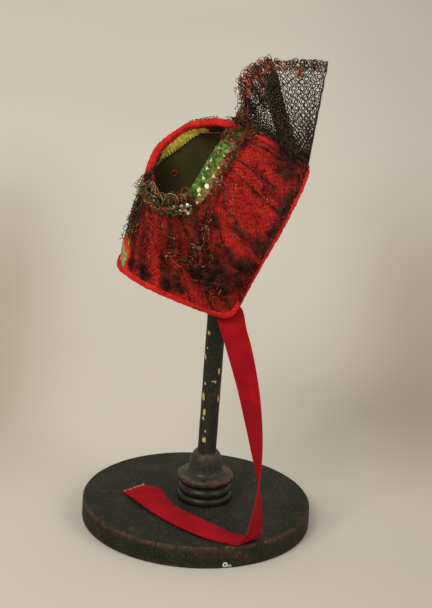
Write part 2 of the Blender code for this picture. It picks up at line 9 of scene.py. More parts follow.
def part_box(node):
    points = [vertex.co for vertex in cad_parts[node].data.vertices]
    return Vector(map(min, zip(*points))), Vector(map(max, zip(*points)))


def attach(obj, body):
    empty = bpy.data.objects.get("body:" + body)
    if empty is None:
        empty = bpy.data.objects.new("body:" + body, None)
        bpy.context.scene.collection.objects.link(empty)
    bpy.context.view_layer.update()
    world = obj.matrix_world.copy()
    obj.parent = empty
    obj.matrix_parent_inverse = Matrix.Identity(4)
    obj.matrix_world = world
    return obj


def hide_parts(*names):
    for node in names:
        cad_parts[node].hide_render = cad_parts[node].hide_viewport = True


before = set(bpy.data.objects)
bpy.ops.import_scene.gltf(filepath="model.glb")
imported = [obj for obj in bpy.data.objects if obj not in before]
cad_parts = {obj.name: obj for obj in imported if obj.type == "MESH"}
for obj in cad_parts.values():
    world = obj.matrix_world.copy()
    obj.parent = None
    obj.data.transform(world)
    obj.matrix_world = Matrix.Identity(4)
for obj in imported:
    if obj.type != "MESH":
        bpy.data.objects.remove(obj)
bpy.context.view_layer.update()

# Studio
# A pale paper floor under a large soft light from the upper left and a fill from the right, with painted
# shade that darkens it a little a short way behind the stand. The camera stands where the photograph was
# taken.

CAMERA_PLACE = (0.0089, -3.7104, 1.7486)
CAMERA_DOWN_DEG = 22.191
CAMERA_ROLL_DEG = 3.201
CAMERA_LENS_MM = 240.95
CAMERA_SENSOR_MM = 36.0
FLOOR_SIZE = 16.0
ROOM_COLOUR = (233, 228, 218)
ROOM_LIGHT = 0.76
LIGHTS = (
    # name, place, point that it faces, size, power
    ("softbox", (-1.5, -2.4, 3.0), (0.0, 0.0, 0.2), 1.6, 100.0),
    ("fill", (2.2, -1.6, 2.2), (0.0, 0.1, 0.1), 1.4, 30.0),
)


def srgb(red, green, blue):
    """A colour given as 0 to 255, as the linear numbers that a shader takes."""
    shares = [c / 255 for c in (red, green, blue)]
    return (*[s / 12.92 if s < 0.04045 else ((s + 0.055) / 1.055) ** 2.4 for s in shares], 1.0)


class Shade:
    """A value in a material's node tree. Arithmetic on it adds Math nodes."""

    def __init__(self, tree, socket):
        self.tree = tree
        self.socket = socket

    def node(self, kind, values, settings=(), output=0):
        """Adds a node: its settings first, then the values or links of its sockets."""
        made = self.tree.nodes.new("ShaderNode" + kind)
        for name, setting in dict(settings).items():
            setattr(made, name, setting)
        for name, value in values.items():
            if isinstance(value, Shade):
                self.tree.links.new(value.socket, made.inputs[name])
            else:
                made.inputs[name].default_value = value
        return Shade(self.tree, made.outputs[output])

    def math(self, operation, first, second):
        return self.node("Math", {0: first, 1: second}, {"operation": operation})

    def __add__(self, other):
        return self.math("ADD", self, other)

    def __sub__(self, other):
        return self.math("SUBTRACT", self, other)

    def __rsub__(self, other):
        return self.math("SUBTRACT", other, self)

    def __mul__(self, other):
        return self.math("MULTIPLY", self, other)

    def __truediv__(self, other):
        return self.math("DIVIDE", self, other)

    __radd__ = __add__
    __rmul__ = __mul__

    def most(self, other):
        return self.math("MAXIMUM", self, other)

    def sine(self):
        return self.math("SINE", self, 0.0)

    def step(self, low, high):
        """0 at low and 1 at high, smooth between them."""
        values = {"Value": self, "From Min": low, "From Max": high}
        return self.node("MapRange", values, {"interpolation_type": "SMOOTHSTEP"})

    def part(self, index):
        """One of the three numbers of a vector."""
        return self.node("SeparateXYZ", {0: self}, output=index)

    def stretched(self, x, y, z):
        return self.node("VectorMath", {0: self, 1: (x, y, z)}, {"operation": "MULTIPLY"})

    def noise(self, scale, detail, roughness=0.5):
        values = {"Vector": self, "Scale": scale, "Detail": detail, "Roughness": roughness}
        return self.node("TexNoise", values)

    def cells(self, scale):
        """Distance in a pattern of scattered cells."""
        return self.node("TexVoronoi", {"Vector": self, "Scale": scale})

    def away(self, x, y, z):
        """Distance from a point."""
        return self.node("VectorMath", {0: self, 1: (x, y, z)}, {"operation": "DISTANCE"}, output=1)

    def over(self, under, colour):
        """This mask's share of a colour over a shade or another colour, colours as 0 to 255."""
        under = under if isinstance(under, Shade) else srgb(*under)
        values = {0: self, 6: under, 7: srgb(*colour)}
        return self.node("Mix", values, {"data_type": "RGBA"}, output=2)


class Finish:
    """A material on its Principled shader, with the coordinates that its patterns follow."""

    def __init__(self, name, roughness, gloss=0.15, metallic=0.0):
        self.material = bpy.data.materials.new(name)
        self.material.use_nodes = True
        self.tree = self.material.node_tree
        self.shader = self.tree.nodes["Principled BSDF"]
        self.shader.inputs["Roughness"].default_value = roughness
        self.shader.inputs["Specular IOR Level"].default_value = gloss
        self.shader.inputs["Metallic"].default_value = metallic
        coordinates = self.tree.nodes.new("ShaderNodeTexCoord")
        self.place = Shade(self.tree, coordinates.outputs["Object"])
        self.map = Shade(self.tree, coordinates.outputs["UV"])

    def set(self, socket, value):
        self.tree.links.new(value.socket, self.shader.inputs[socket])

    def paint(self, ground, *coats):
        """The colour: a ground, then pairs of a mask and the colour that it lays over the rest."""
        for mask, colour in coats:
            ground = mask.over(ground, colour)
        self.set("Base Color", ground)

    def bump(self, height, depth, strength):
        """Relief from a height of 0 to 1, as deep as depth in metres."""
        values = {"Strength": strength, "Distance": depth, "Height": height}
        self.set("Normal", height.node("Bump", values))


def select_only(obj=None):
    """Selects nothing, or one object that is then also the active one."""
    bpy.ops.object.select_all(action="DESELECT")
    if obj:
        obj.select_set(True)
        bpy.context.view_layer.objects.active = obj


select_only()
bpy.ops.mesh.primitive_plane_add(size=FLOOR_SIZE)
floor = bpy.context.object
floor.name = "floor"
paper = Finish("paper", roughness=0.95)
across = paper.place.part(0)
back = paper.place.part(1)
shade_beside_stand = (across * across).step(0.008, 0.06) * back.step(-0.05, 0.30) * (1 - back.step(0.55, 1.2))
# Painted shade: the floor is painted darker a little behind the stand, most of all to the sides, and
# towards the right.
paper.paint(
    (211, 206, 192),
    (1 - back.step(0.30, 1.05), (196, 189, 174)),
    (1 - back.step(-0.10, 0.34), (188, 180, 166)),
    (shade_beside_stand * 0.56, (148, 132, 108)),
    (across.step(0.0, 0.40) * 0.40, (148, 141, 128)),
    (paper.place.noise(3.0, 1.0).step(0.4, 0.7) * 0.05, (150, 140, 122)),
)
paper.bump(paper.place.noise(900.0, 3.0), 0.0002, 0.3)
floor.data.materials.append(paper.material)

world = bpy.data.worlds.new("room")
world.use_nodes = True
room = world.node_tree.nodes["Background"]
room.inputs["Color"].default_value = srgb(*ROOM_COLOUR)
room.inputs["Strength"].default_value = ROOM_LIGHT
bpy.context.scene.world = world
bpy.context.scene.view_settings.view_transform = "Standard"

for name, place, aim, size, power in LIGHTS:
    light = bpy.data.lights.new(name, "AREA")
    light.energy = power
    light.size = size
    lamp = bpy.data.objects.new(name, light)
    lamp.location = place
    lamp.rotation_euler = (Vector(aim) - Vector(place)).to_track_quat("-Z", "Y").to_euler()
    bpy.context.scene.collection.objects.link(lamp)

camera = bpy.data.objects.new("camera", bpy.data.cameras.new("camera"))
camera.data.lens = CAMERA_LENS_MM
camera.data.sensor_width = CAMERA_SENSOR_MM
camera.data.clip_end = 50.0
look = Matrix.Rotation(math.radians(90.0 - CAMERA_DOWN_DEG), 4, "X")
roll = Matrix.Rotation(math.radians(CAMERA_ROLL_DEG), 4, "Z")
camera.matrix_world = Matrix.Translation(CAMERA_PLACE) @ look @ roll
bpy.context.scene.collection.objects.link(camera)
bpy.context.scene.camera = camera

# Stand base
# A flat turned disc of wood in old dark green-black paint, rubbed through to reddish wood along its
# edges, with fine scratches over the top.

MM = 0.001
BASE_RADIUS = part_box("stand_base")[1][0]
BASE_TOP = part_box("stand_base")[1][2]
BASE_ROUND = 3.0 * MM
BASE_SIDES = 160
# Small white rings scratched on the front of the base: x, height, radius.
BASE_RINGS = ((0.0321, 0.0042, 0.0030), (0.0366, 0.0024, 0.0021))


def add_modifier(obj, kind, **settings):
    """Adds a modifier and applies it."""
    select_only(obj)
    modifier = obj.modifiers.new(kind.lower(), kind)
    for name, value in settings.items():
        setattr(modifier, name, value)
    bpy.ops.object.modifier_apply(modifier=modifier.name)


def settle(obj, angle_deg=60.0):
    """Leaves a piece at the origin, unturned and unscaled, shaded smooth but for its edges."""
    select_only(obj)
    bpy.ops.object.transform_apply(location=True, rotation=True, scale=True)
    bpy.ops.object.shade_smooth_by_angle(angle=math.radians(angle_deg))


def dress(obj, name, finish, slot, *nodes):
    """Names a piece, gives it its material, and lets it ride with the object. The slot is not used."""
    obj.name = obj.data.name = name
    obj.data.materials.clear()
    obj.data.materials.append(finish.material)
    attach(obj, "root")
    if nodes:
        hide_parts(*nodes)


def old_paint(name, edges, chips, roughness, gloss, ground=(188, 162, 104), painted_shade=None):
    """Dark paint over reddish wood, with masks of where it is worn, bare, and painted darker as shade."""
    finish = Finish(name, roughness, gloss)
    place = finish.place
    mottle = place.noise(38.0, 5.0, 0.62)
    grain = place.noise(700.0, 3.0, 0.7)
    scratch = place.stretched(0.35, 1.6, 1.0).noise(260.0, 2.0).step(0.70, 0.76)
    cross_scratch = place.stretched(1.5, 0.3, 1.0).noise(230.0, 2.0).step(0.71, 0.77)
    rubbed = edges(place) * place.noise(150.0, 4.0, 0.7).step(0.36, 0.62)
    bright = edges(place) * place.noise(330.0, 3.0, 0.7).step(0.58, 0.70)
    bare = chips(place)
    coats = [
        (mottle.step(0.42, 0.66), (41, 39, 29)),
        (place.noise(90.0, 4.0).step(0.60, 0.74) * 0.7, (60, 40, 29)),
        (grain.step(0.54, 0.68) * 0.55, (84, 78, 62)),
        ((1 - grain.step(0.34, 0.46)) * 0.5, (18, 17, 13)),
        (scratch.most(cross_scratch) * 0.35, (92, 84, 68)),
        (rubbed, (76, 50, 35)),
        (bright * 0.8, (140, 104, 74)),
        (bare, ground),
    ]
    # Painted shade: where this mask says, the paint is painted nearly black.
    if painted_shade:
        coats.append((painted_shade(place) * 0.75, (14, 13, 10)))
    finish.paint((29, 31, 23), *coats)
    finish.set("Roughness", roughness + mottle * 0.22 + rubbed * 0.15)
    relief = mottle * 0.3 + place.noise(420.0, 3.0) * 0.35 + scratch * 0.2 + 0.5 - bare * 0.5
    finish.bump(relief, 0.0006, 0.45)
    return finish


def base_edges(place):
    level = place.stretched(1.0, 1.0, 0.0).away(0.0, 0.0, 0.0)
    rim = level.step(BASE_RADIUS - 0.0032, BASE_RADIUS - 0.0008)
    top = rim * place.part(2).step(BASE_TOP - 0.0062, BASE_TOP - 0.002)
    foot = rim * place.part(2).step(0.005, 0.001) * 0.7
    patches = rim * place.noise(26.0, 2.0).step(0.56, 0.70) * 0.45
    return (top * 0.9).most(foot).most(patches)


def base_rings(place):
    rings = []
    for x, z, radius in BASE_RINGS:
        y = -math.sqrt(BASE_RADIUS ** 2 - x ** 2)
        ragged = place.away(x, y, z) + place.noise(500.0, 2.0) * 0.0016 - 0.0008
        inside = ragged.step(radius * 0.25, radius * 0.5)
        rings.append((1 - ragged.step(radius * 0.8, radius)) * inside)
    return reduce(Shade.most, rings)


select_only()
bpy.ops.mesh.primitive_cylinder_add(
    vertices=BASE_SIDES, radius=BASE_RADIUS, depth=BASE_TOP, location=(0.0, 0.0, BASE_TOP / 2)
)
base = bpy.context.object
add_modifier(base, "BEVEL", width=BASE_ROUND, segments=4, limit_method="ANGLE")
settle(base, 40.0)
base_paint = old_paint("base_paint", base_edges, base_rings, 0.55, 0.09, (196, 202, 192))
dress(base, "base", base_paint, "painted_wood", "stand_base")

# Collar
# One turning that holds the post: foot ring, groove, wide flange and a bell that narrows to the
# post, in the same paint, worn bright along the flange.

COLLAR_LOW, COLLAR_HIGH = (Vector(corner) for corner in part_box("stand_collar"))
COLLAR_CENTRE = (COLLAR_LOW + COLLAR_HIGH) / 2
COLLAR_RADIUS = (COLLAR_HIGH.x - COLLAR_LOW.x) / 2
COLLAR_HEIGHT = COLLAR_HIGH.z - COLLAR_LOW.z
COLLAR_SIDES = 96
# A bare fleck on the front of the bell.
COLLAR_FLECK = (0.0062, -0.0075, 0.0663)
# Radius and height, as shares of the collar's own, going up.
COLLAR_PROFILE = (
    (0.955, 0.000), (0.980, 0.020), (0.985, 0.080), (0.955, 0.120), (0.885, 0.145),
    (0.905, 0.180), (0.940, 0.200), (0.940, 0.255), (0.910, 0.285), (0.862, 0.310),
    (0.860, 0.360), (0.905, 0.385), (0.960, 0.405), (0.990, 0.440), (0.998, 0.475),
    (0.985, 0.505), (0.940, 0.525), (0.840, 0.538), (0.745, 0.552), (0.680, 0.580),
    (0.635, 0.620), (0.612, 0.670), (0.600, 0.730), (0.585, 0.790), (0.558, 0.850),
    (0.520, 0.905), (0.475, 0.950), (0.425, 0.985), (0.375, 0.998),
)


def turned_piece(profile, centre, sides):
    """A disc extruded and resized ring by ring. profile holds radii and heights, going up."""
    select_only()
    first, foot = profile[0]
    bottom = Vector(centre) + Vector((0.0, 0.0, foot))
    bpy.ops.mesh.primitive_circle_add(
        vertices=sides, radius=first, fill_type="NGON", location=bottom
    )
    obj = bpy.context.object
    bpy.ops.object.mode_set(mode="EDIT")
    for (radius, height), (next_radius, next_height) in zip(profile, profile[1:]):
        rise = {"value": (0.0, 0.0, next_height - height)}
        bpy.ops.mesh.extrude_region_move(TRANSFORM_OT_translate=rise)
        k = next_radius / radius
        ring = Vector(centre) + Vector((0.0, 0.0, next_height))
        bpy.ops.transform.resize(value=(k, k, 1.0), center_override=ring)
    bpy.ops.mesh.select_all(action="SELECT")
    bpy.ops.mesh.normals_make_consistent(inside=False)
    bpy.ops.object.mode_set(mode="OBJECT")
    return obj


def collar_height(place):
    return (place.part(2) - COLLAR_LOW.z) / COLLAR_HEIGHT


def collar_edges(place):
    height = collar_height(place)
    flange = height.step(0.39, 0.44) * (1 - height.step(0.52, 0.56))
    ring = height.step(0.19, 0.21) * (1 - height.step(0.25, 0.28)) * 0.35
    bell = height.step(0.80, 0.93) * 0.4
    return flange.most(ring).most(bell)


def collar_chips(place):
    return (1 - place.away(*COLLAR_FLECK).step(0.0013, 0.0024)) * 0.8


# Painted shade: below the flange the foot ring and groove are painted darker.
def shade_under_flange(place):
    return (1 - collar_height(place).step(0.22, 0.40)) * 0.8


collar_profile = [(r * COLLAR_RADIUS, h * COLLAR_HEIGHT) for r, h in COLLAR_PROFILE]
collar_foot = (COLLAR_CENTRE.x, COLLAR_CENTRE.y, COLLAR_LOW.z)
collar = turned_piece(collar_profile, collar_foot, COLLAR_SIDES)
settle(collar)
collar_paint = old_paint("collar_paint", collar_edges, collar_chips, 0.32, 0.24, painted_shade=shade_under_flange)
dress(collar, "collar", collar_paint, "worn_wood", "stand_collar")

# Post
# A plain round post that leans slightly, its paint chipped down to a pale gold ground mostly on its
# left side. Its rounded top is hidden in the cap.

POST_TOP = Vector(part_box("stand_post")[1]).z
POST_RADIUS = 9.25 * MM
POST_CHAMFER = 0.3 * MM
POST_LEAN_DEG = 0.93
POST_FOOT = Vector((7.7, 5.5, 61.3)) * MM
POST_RINGS = 41
POST_SIDES = 48
# Chips in the post's paint: x and height on its front, then half width and half height.
POST_CHIPS = (
    (4.5, 89.5, 2.3, 3.6), (2.6, 112.0, 1.5, 2.0), (3.2, 119.0, 1.6, 4.6), (1.6, 135.0, 1.4, 5.2),
    (10.5, 153.5, 2.2, 0.8), (15.6, 164.0, 1.0, 4.2), (12.6, 153.0, 1.0, 1.8), (2.6, 150.0, 0.9, 2.2),
    (3.6, 204.5, 1.8, 2.4), (1.5, 178.0, 0.8, 3.4), (5.2, 99.0, 0.8, 1.6), (16.3, 134.0, 0.7, 4.4),
    (2.9, 188.0, 0.8, 1.2), (14.0, 220.0, 1.1, 1.1), (4.6, 228.0, 0.9, 2.6),
)


def post_chips(place):
    front = 1 - place.part(1).step(0.000, 0.006)
    chips = []
    for x, z, half_width, half_height in POST_CHIPS:
        wide, high = half_width * MM, half_height * MM
        near = place.stretched(1 / wide, 0.0, 1 / high).away(x * MM / wide, 0.0, z * MM / high)
        ragged = near + place.noise(620.0, 3.0) * 1.3 - 0.65
        chips.append(1 - ragged.step(0.62, 0.95))
    left = 1 - place.part(0).step(0.0005, 0.0045)
    flecks = left * place.stretched(1.0, 1.0, 0.55).noise(260.0, 3.0, 0.6).step(0.655, 0.70)
    flecks = flecks * place.noise(24.0, 1.0).step(0.48, 0.56)
    return (reduce(Shade.most, chips) * front).most(flecks)


def post_edges(place):
    return place.stretched(1.0, 1.0, 0.3).noise(60.0, 3.0).step(0.60, 0.74) * 0.5


# Painted shade: the post's paint is painted darker where it stands inside the cap.
def shade_in_the_cap(place):
    return place.part(2).step(0.26, 0.33)


post_length = POST_TOP - POST_FOOT.z
shoulder = post_length - POST_RADIUS
post_profile = [(POST_RADIUS - POST_CHAMFER, 0.0)]
for k in range(POST_RINGS):
    wobble = 0.08 * MM * math.sin(k * 1.7) + 0.05 * MM * math.sin(k * 0.61)
    post_profile.append((POST_RADIUS + wobble, POST_CHAMFER + shoulder * k / POST_RINGS))
for degrees in range(10, 90, 10):
    a = math.radians(degrees)
    post_profile.append((POST_RADIUS * math.cos(a), shoulder + POST_RADIUS * math.sin(a)))
post = turned_piece(post_profile, (0.0, 0.0, 0.0), POST_SIDES)
post.location = POST_FOOT
post.rotation_euler = (0.0, math.radians(POST_LEAN_DEG), 0.0)
settle(post)
post_paint = old_paint("post_paint", post_edges, post_chips, 0.46, 0.16, painted_shade=shade_in_the_cap)
dress(post, "post", post_paint, "painted_wood", "stand_post")

# Wool sides
# Two shaped pieces of soft red wool cloth that make the cap's body. They meet in a seam over the
# head, and their lower edges run along the face and the neck.

CAP_HEIGHT = 155.3 * MM
CAP_DEPTH = 129.0 * MM
CAP_HALF_WIDTH = 70.0 * MM
CAP_BULGE = 4.5 * MM
# The point that the cloth bulges away from, as shares of the cap's depth and height.
BULGE_FROM = (-0.46, 0.45)
CAP_PLACE = Vector((19.2, 20.5, 237.4)) * MM
CAP_TURNS_DEG = (5.0, 26.4, 5.85)
WOOL_THICKNESS = 2.0 * MM
LAST, LOOP = 12, 24
BACK_SEAM = 11.35
SEAM_GAP = 0.02
# The cap's outline from the brow (station 0) by the chin corner (6) to the nape (12): shares of its
# depth forward, height and half width, at the outer edge and at the crown's rim.
OUTLINE = np.array((
    # edge u, edge v, edge s, rim u, rim v, rim s
    (0.00, 1.00, 0.00, -0.64, 1.05, 0.00),
    (-0.03, 0.95, 0.43, -0.70, 1.00, 0.21),
    (-0.06, 0.84, 0.73, -0.75, 0.94, 0.42),
    (-0.07, 0.69, 0.89, -0.79, 0.86, 0.64),
    (-0.066, 0.49, 0.91, -0.82, 0.79, 0.84),
    (-0.04, 0.27, 0.84, -0.84, 0.73, 0.95),
    (-0.012, 0.08, 0.74, -0.857, 0.68, 1.00),
    (-0.06, 0.00, 0.72, -0.88, 0.64, 0.99),
    (-0.23, -0.02, 0.74, -0.91, 0.60, 0.93),
    (-0.45, -0.035, 0.73, -0.945, 0.56, 0.80),
    (-0.65, -0.06, 0.62, -0.975, 0.52, 0.57),
    (-0.78, -0.10, 0.34, -0.995, 0.495, 0.30),
    (-0.845, -0.13, 0.00, -1.00, 0.49, 0.00),
))
# Two more rows past each end, from the other side, so that the outline is smooth there too.
MIRROR = np.array((1.0, 1.0, -1.0, 1.0, 1.0, -1.0))
ROUND_OUTLINE = np.vstack((OUTLINE[2:0:-1] * MIRROR, OUTLINE, OUTLINE[LAST - 1:LAST - 3:-1] * MIRROR))
CAP_AXES = (
    Matrix.Rotation(math.radians(CAP_TURNS_DEG[2]), 3, "Z")
    @ Matrix.Rotation(math.radians(CAP_TURNS_DEG[0]), 3, "X")
    @ Matrix.Rotation(math.radians(CAP_TURNS_DEG[1]), 3, "Y")
)
# Where folds and gathered net shade the wool: station, share of the way up, half width in stations,
# half height, lean in stations over the height, depth of the tone.
WOOL_SHADE = (
    (0.25, 0.30, 0.45, 0.30, 0.0, 0.95), (0.90, 0.30, 0.50, 0.22, -0.4, 0.75),
    (2.03, 0.38, 0.24, 0.30, -0.9, 0.70), (2.10, 0.11, 0.35, 0.10, 0.0, 0.75),
    (2.75, 0.10, 0.40, 0.08, 0.0, 0.60), (3.40, 0.10, 0.35, 0.07, 0.0, 0.55),
    (4.12, 0.33, 0.16, 0.28, 1.3, 0.55), (3.85, 0.12, 0.30, 0.10, 0.0, 0.85),
    (5.00, 0.30, 0.32, 0.28, 2.0, 0.60), (4.60, 0.13, 0.45, 0.11, 0.0, 0.75),
    (5.30, 0.13, 0.40, 0.11, 0.0, 0.80), (5.90, 0.30, 0.60, 0.26, 0.6, 0.74),
    (6.70, 0.34, 0.80, 0.22, 1.0, 0.78), (7.70, 0.44, 0.80, 0.14, 0.0, 0.62),
    (6.80, 0.56, 1.00, 0.16, 0.0, 0.45), (6.10, 0.68, 0.80, 0.14, 0.0, 0.55),
    (9.00, 0.50, 0.34, 0.46, -1.1, 0.85), (8.90, 0.22, 0.26, 0.18, -1.0, 0.80),
    (9.35, 0.14, 0.22, 0.12, 0.0, 0.70), (10.65, 0.50, 0.42, 0.52, 1.4, 0.46),
    (10.2, 0.13, 0.26, 0.12, 0.0, 0.85), (11.3, 0.42, 0.30, 0.46, 1.9, 0.68),
    (11.1, 0.75, 0.40, 0.26, 0.0, 0.58), (8.00, 0.88, 3.60, 0.06, 0.0, 0.30),
    (0.60, 0.86, 0.80, 0.12, 0.0, 0.45), (5.00, 0.70, 0.60, 0.10, 0.0, 0.60),
    (8.35, 0.66, 0.42, 0.20, -1.0, 0.65),
)


def smooth_rows(rows, at):
    """A table's rows at places between them, along a smooth line through them all."""
    low = np.clip(np.floor(at).astype(int), 0, len(rows) - 2)
    t = (at - low)[..., None]
    a, b, c, d = (rows[np.clip(low + k, 0, len(rows) - 1)] for k in (-1, 0, 1, 2))
    square, cube = 2 * a - 5 * b + 4 * c - d, 3 * b - a - 3 * c + d
    return 0.5 * (2 * b + (c - a) * t + square * t ** 2 + cube * t ** 3)


def outline_at(station):
    """Edge and rim points of the cap at stations from 0 to LAST, in the cap's own frame."""
    row = smooth_rows(ROUND_OUTLINE, station + 2.0)
    size = np.array((CAP_DEPTH, CAP_HEIGHT, CAP_HALF_WIDTH))
    edge, rim = row[..., :3] * size, row[..., 3:] * size
    return edge[..., (0, 2, 1)], rim[..., (0, 2, 1)]


def cap_surface(station, rise):
    """Inner face of the wool: rise is 0 at the outer edge and 1 at the crown's rim."""
    edge, rim = outline_at(station)
    out = (edge + rim) / 2 - np.array((BULGE_FROM[0] * CAP_DEPTH, 0.0, BULGE_FROM[1] * CAP_HEIGHT))
    out /= np.linalg.norm(out, axis=-1, keepdims=True)
    r = rise[..., None]
    return edge * (1 - r) + rim * r + out * (CAP_BULGE * 4 * r * (1 - r))


def cap_directions(station, rise):
    """Directions out of the cloth and up it."""
    step = 0.02
    along = cap_surface(station + step, rise) - cap_surface(station - step, rise)
    up = cap_surface(station, rise + step) - cap_surface(station, rise - step)
    out = np.cross(along, up)
    out /= np.linalg.norm(out, axis=-1, keepdims=True)
    return out, up / np.linalg.norm(up, axis=-1, keepdims=True)


def cap_world(points):
    return points @ np.array(CAP_AXES).T + np.array(CAP_PLACE)


def on_cap(station, rise, out=0.0, onward=0.0):
    """World points at stations all round the cap, a height out of the cloth and onward up it.

    Stations 0 to 12 run down the far side and 12 to 24 back up the near side.
    """
    station, rise, out, onward = np.broadcast_arrays(
        *(np.asarray(value, float) for value in (station, rise, out, onward))
    )
    near = (station > LAST) | (station < 0)
    folded = np.where(station > LAST, LOOP - station, np.abs(station))
    outward, up = cap_directions(folded, rise)
    points = cap_surface(folded, rise) + outward * out[..., None] + up * onward[..., None]
    points[..., 1] *= np.where(near, -1.0, 1.0)
    return cap_world(points)


def cloth_length(station):
    """Length of the cloth from the edge to the rim at stations all round."""
    station = np.asarray(station, float)
    edge, rim = outline_at(np.where(station > LAST, LOOP - station, np.abs(station)))
    return np.linalg.norm(rim - edge, axis=-1)


def ripple(u, v, seed):
    """Soft random relief between about -1 and 1 over u and v, the same each run."""
    chance = np.random.default_rng(seed)
    waves, fine = 5, 9.0
    total = 0.0
    for _ in range(waves):
        a, b = chance.uniform(-fine, fine, 2)
        total = total + np.sin(a * u + b * v + chance.uniform(0, 6.28)) * chance.uniform(0.4, 1.0)
    return total / (0.7 * waves)


def shaped_grid(columns, rows, place):
    """A grid primitive whose points go where place(u, v) says, u and v running from 0 to 1."""
    select_only()
    bpy.ops.mesh.primitive_grid_add(x_subdivisions=columns, y_subdivisions=rows, size=2.0)
    obj = bpy.context.object
    flat = np.empty(len(obj.data.vertices) * 3)
    obj.data.vertices.foreach_get("co", flat)
    flat = flat.reshape(-1, 3)
    points = place((flat[:, 0] + 1) / 2, (flat[:, 1] + 1) / 2)
    obj.data.vertices.foreach_set("co", points.ravel())
    obj.data.update()
    return obj


def thickened(cloth, thickness, offset=-1.0):
    """Cloth given its thickness, inwards or, with an offset of 0, to both sides."""
    add_modifier(cloth, "SOLIDIFY", thickness=thickness, offset=offset)
    settle(cloth)
    return cloth


def wool_side(first, last, seed):
    def place(u, v):
        station = first + (last - first) * u
        broad = ripple(station * 1.3, v * 7.0, seed) * 0.35
        soft = broad + ripple(station * 5.0, v * 30.0, seed + 1) * 0.2
        return on_cap(station, v, WOOL_THICKNESS + soft * MM * np.sin(v * math.pi))
    return thickened(shaped_grid(150, 48, place), 0.9 * WOOL_THICKNESS)


def wool_finish(name, first, last):
    """Soft red wool whose map runs across from station first to station last."""
    finish = Finish(name, roughness=0.95, gloss=0.1)
    place = finish.place
    felt = place.noise(520.0, 5.0, 0.7)
    station = finish.map.part(0) * (last - first) + first + (place.noise(55.0, 2.0) - 0.5) * 0.7
    up = finish.map.part(1) + (place.noise(48.0, 2.0) - 0.5) * 0.12
    shades = []
    for at, height, half_width, half_height, lean, depth in WOOL_SHADE:
        off = (station - (up - height) * lean - at) / half_width
        rise = (up - height) / half_height
        shades.append((off * off + rise * rise).step(1.3, 0.1) * depth)
    finish.paint(
        (214, 38, 32),
        (place.noise(60.0, 4.0, 0.6).step(0.34, 0.66), (244, 54, 44)),
        (felt.step(0.40, 0.62) * 0.40, (130, 26, 23)),
        (reduce(Shade.most, shades), (66, 25, 22)),
    )
    finish.bump(felt * 0.6 + place.cells(380.0) * 0.4, 0.0012, 0.9)
    return finish


brow_end, back_end = SEAM_GAP, BACK_SEAM - SEAM_GAP
wool_far = wool_side(brow_end, back_end, 3)
wool_far_red = wool_finish("wool_side_far_red", brow_end, back_end)
dress(wool_far, "wool_side_far_cloth", wool_far_red, "red_wool", "wool_side_far")
wool_near = wool_side(LOOP - back_end, LOOP - brow_end, 8)
wool_near_red = wool_finish("wool_side_near_red", back_end, brow_end)
dress(wool_near, "wool_side_near_cloth", wool_near_red, "red_wool", "wool_side_near")

# Back strip
# A narrow strip of yellow-green figured ribbon down the centre of the back, between the two wool
# sides, with soft red and orange blotches.

strip_ribbon = Finish("strip_ribbon", roughness=0.7)
blotch = strip_ribbon.place.noise(105.0, 2.0)
strip_ribbon.paint(
    (122, 120, 66),
    (strip_ribbon.place.noise(300.0, 3.0).step(0.4, 0.6), (168, 158, 98)),
    (blotch.step(0.53, 0.58), (196, 58, 28)),
    (1 - blotch.step(0.36, 0.42), (74, 36, 44)),
)
strip_weave = (strip_ribbon.map.part(1) * 900.0).sine() * 0.5 + 0.5
strip_ribbon.bump(strip_weave, 0.0003, 0.5)
strip_first, strip_last = BACK_SEAM + SEAM_GAP, LOOP - BACK_SEAM - SEAM_GAP


def back_place(u, v):
    station = strip_first + (strip_last - strip_first) * u
    return on_cap(station, v, WOOL_THICKNESS + 0.2 * MM * np.sin(v * 41.0) * np.sin(u * math.pi))


back_strip = thickened(shaped_grid(24, 64, back_place), 0.9 * WOOL_THICKNESS)
dress(back_strip, "back_ribbon", strip_ribbon, "yellow_green_ribbon", "back_strip")

# Lining
# A smooth dark olive cloth that lines the whole cap and shows inside the crown opening. It is sewn
# to the wool along both edges.

LINING_THICKNESS = 1.0 * MM
GAP = 0.3 * MM


def in_edit_mode(obj, *steps):
    """Runs edit-mode operators on the whole mesh, given as pairs of operator and settings."""
    select_only(obj)
    bpy.ops.object.mode_set(mode="EDIT")
    bpy.ops.mesh.select_all(action="SELECT")
    for operator, settings in steps:
        operator(**settings)
    bpy.ops.object.mode_set(mode="OBJECT")


def lining_place(u, v):
    station = LOOP * u
    soft = ripple(np.cos(u * 6.283) * 3, np.sin(u * 6.283) * 3 + v * 5, 5)
    return on_cap(station % LOOP, v, -GAP - 0.25 * MM * (1 + soft) * np.sin(v * math.pi))


lining = shaped_grid(192, 40, lining_place)
in_edit_mode(lining, (bpy.ops.mesh.remove_doubles, {"threshold": 1e-6}))
olive = Finish("olive_lining", roughness=0.8)
weave = olive.place.noise(1500.0, 2.0)
olive.paint(
    (60, 57, 26),
    (olive.place.noise(22.0, 3.0).step(0.35, 0.65), (78, 74, 34)),
    (weave.step(0.4, 0.6) * 0.4, (44, 42, 24)),
    (olive.place.noise(31.0, 2.0).step(0.62, 0.72) * 0.5, (84, 54, 34)),
)
olive.bump(weave, 0.0002, 0.5)
dress(thickened(lining, LINING_THICKNESS), "olive_lining", olive, "olive_lining", "lining")

# Edge binding and crown binding
# Bright red woollen tape folded over the cap's raw edges and sewn down: one loop along the face and
# neck, and one along the far half of the crown's rim, a little past its ends.

TAPE_THICKNESS = 1.1 * MM
TRIM_GAP = 0.9 * MM
EDGE_TAPE_WIDTH = 6.0 * MM
CROWN_TAPE_WIDTH = 7.5 * MM
TAPE_OUTER = WOOL_THICKNESS + TRIM_GAP
TAPE_INNER = -GAP - LINING_THICKNESS - TRIM_GAP


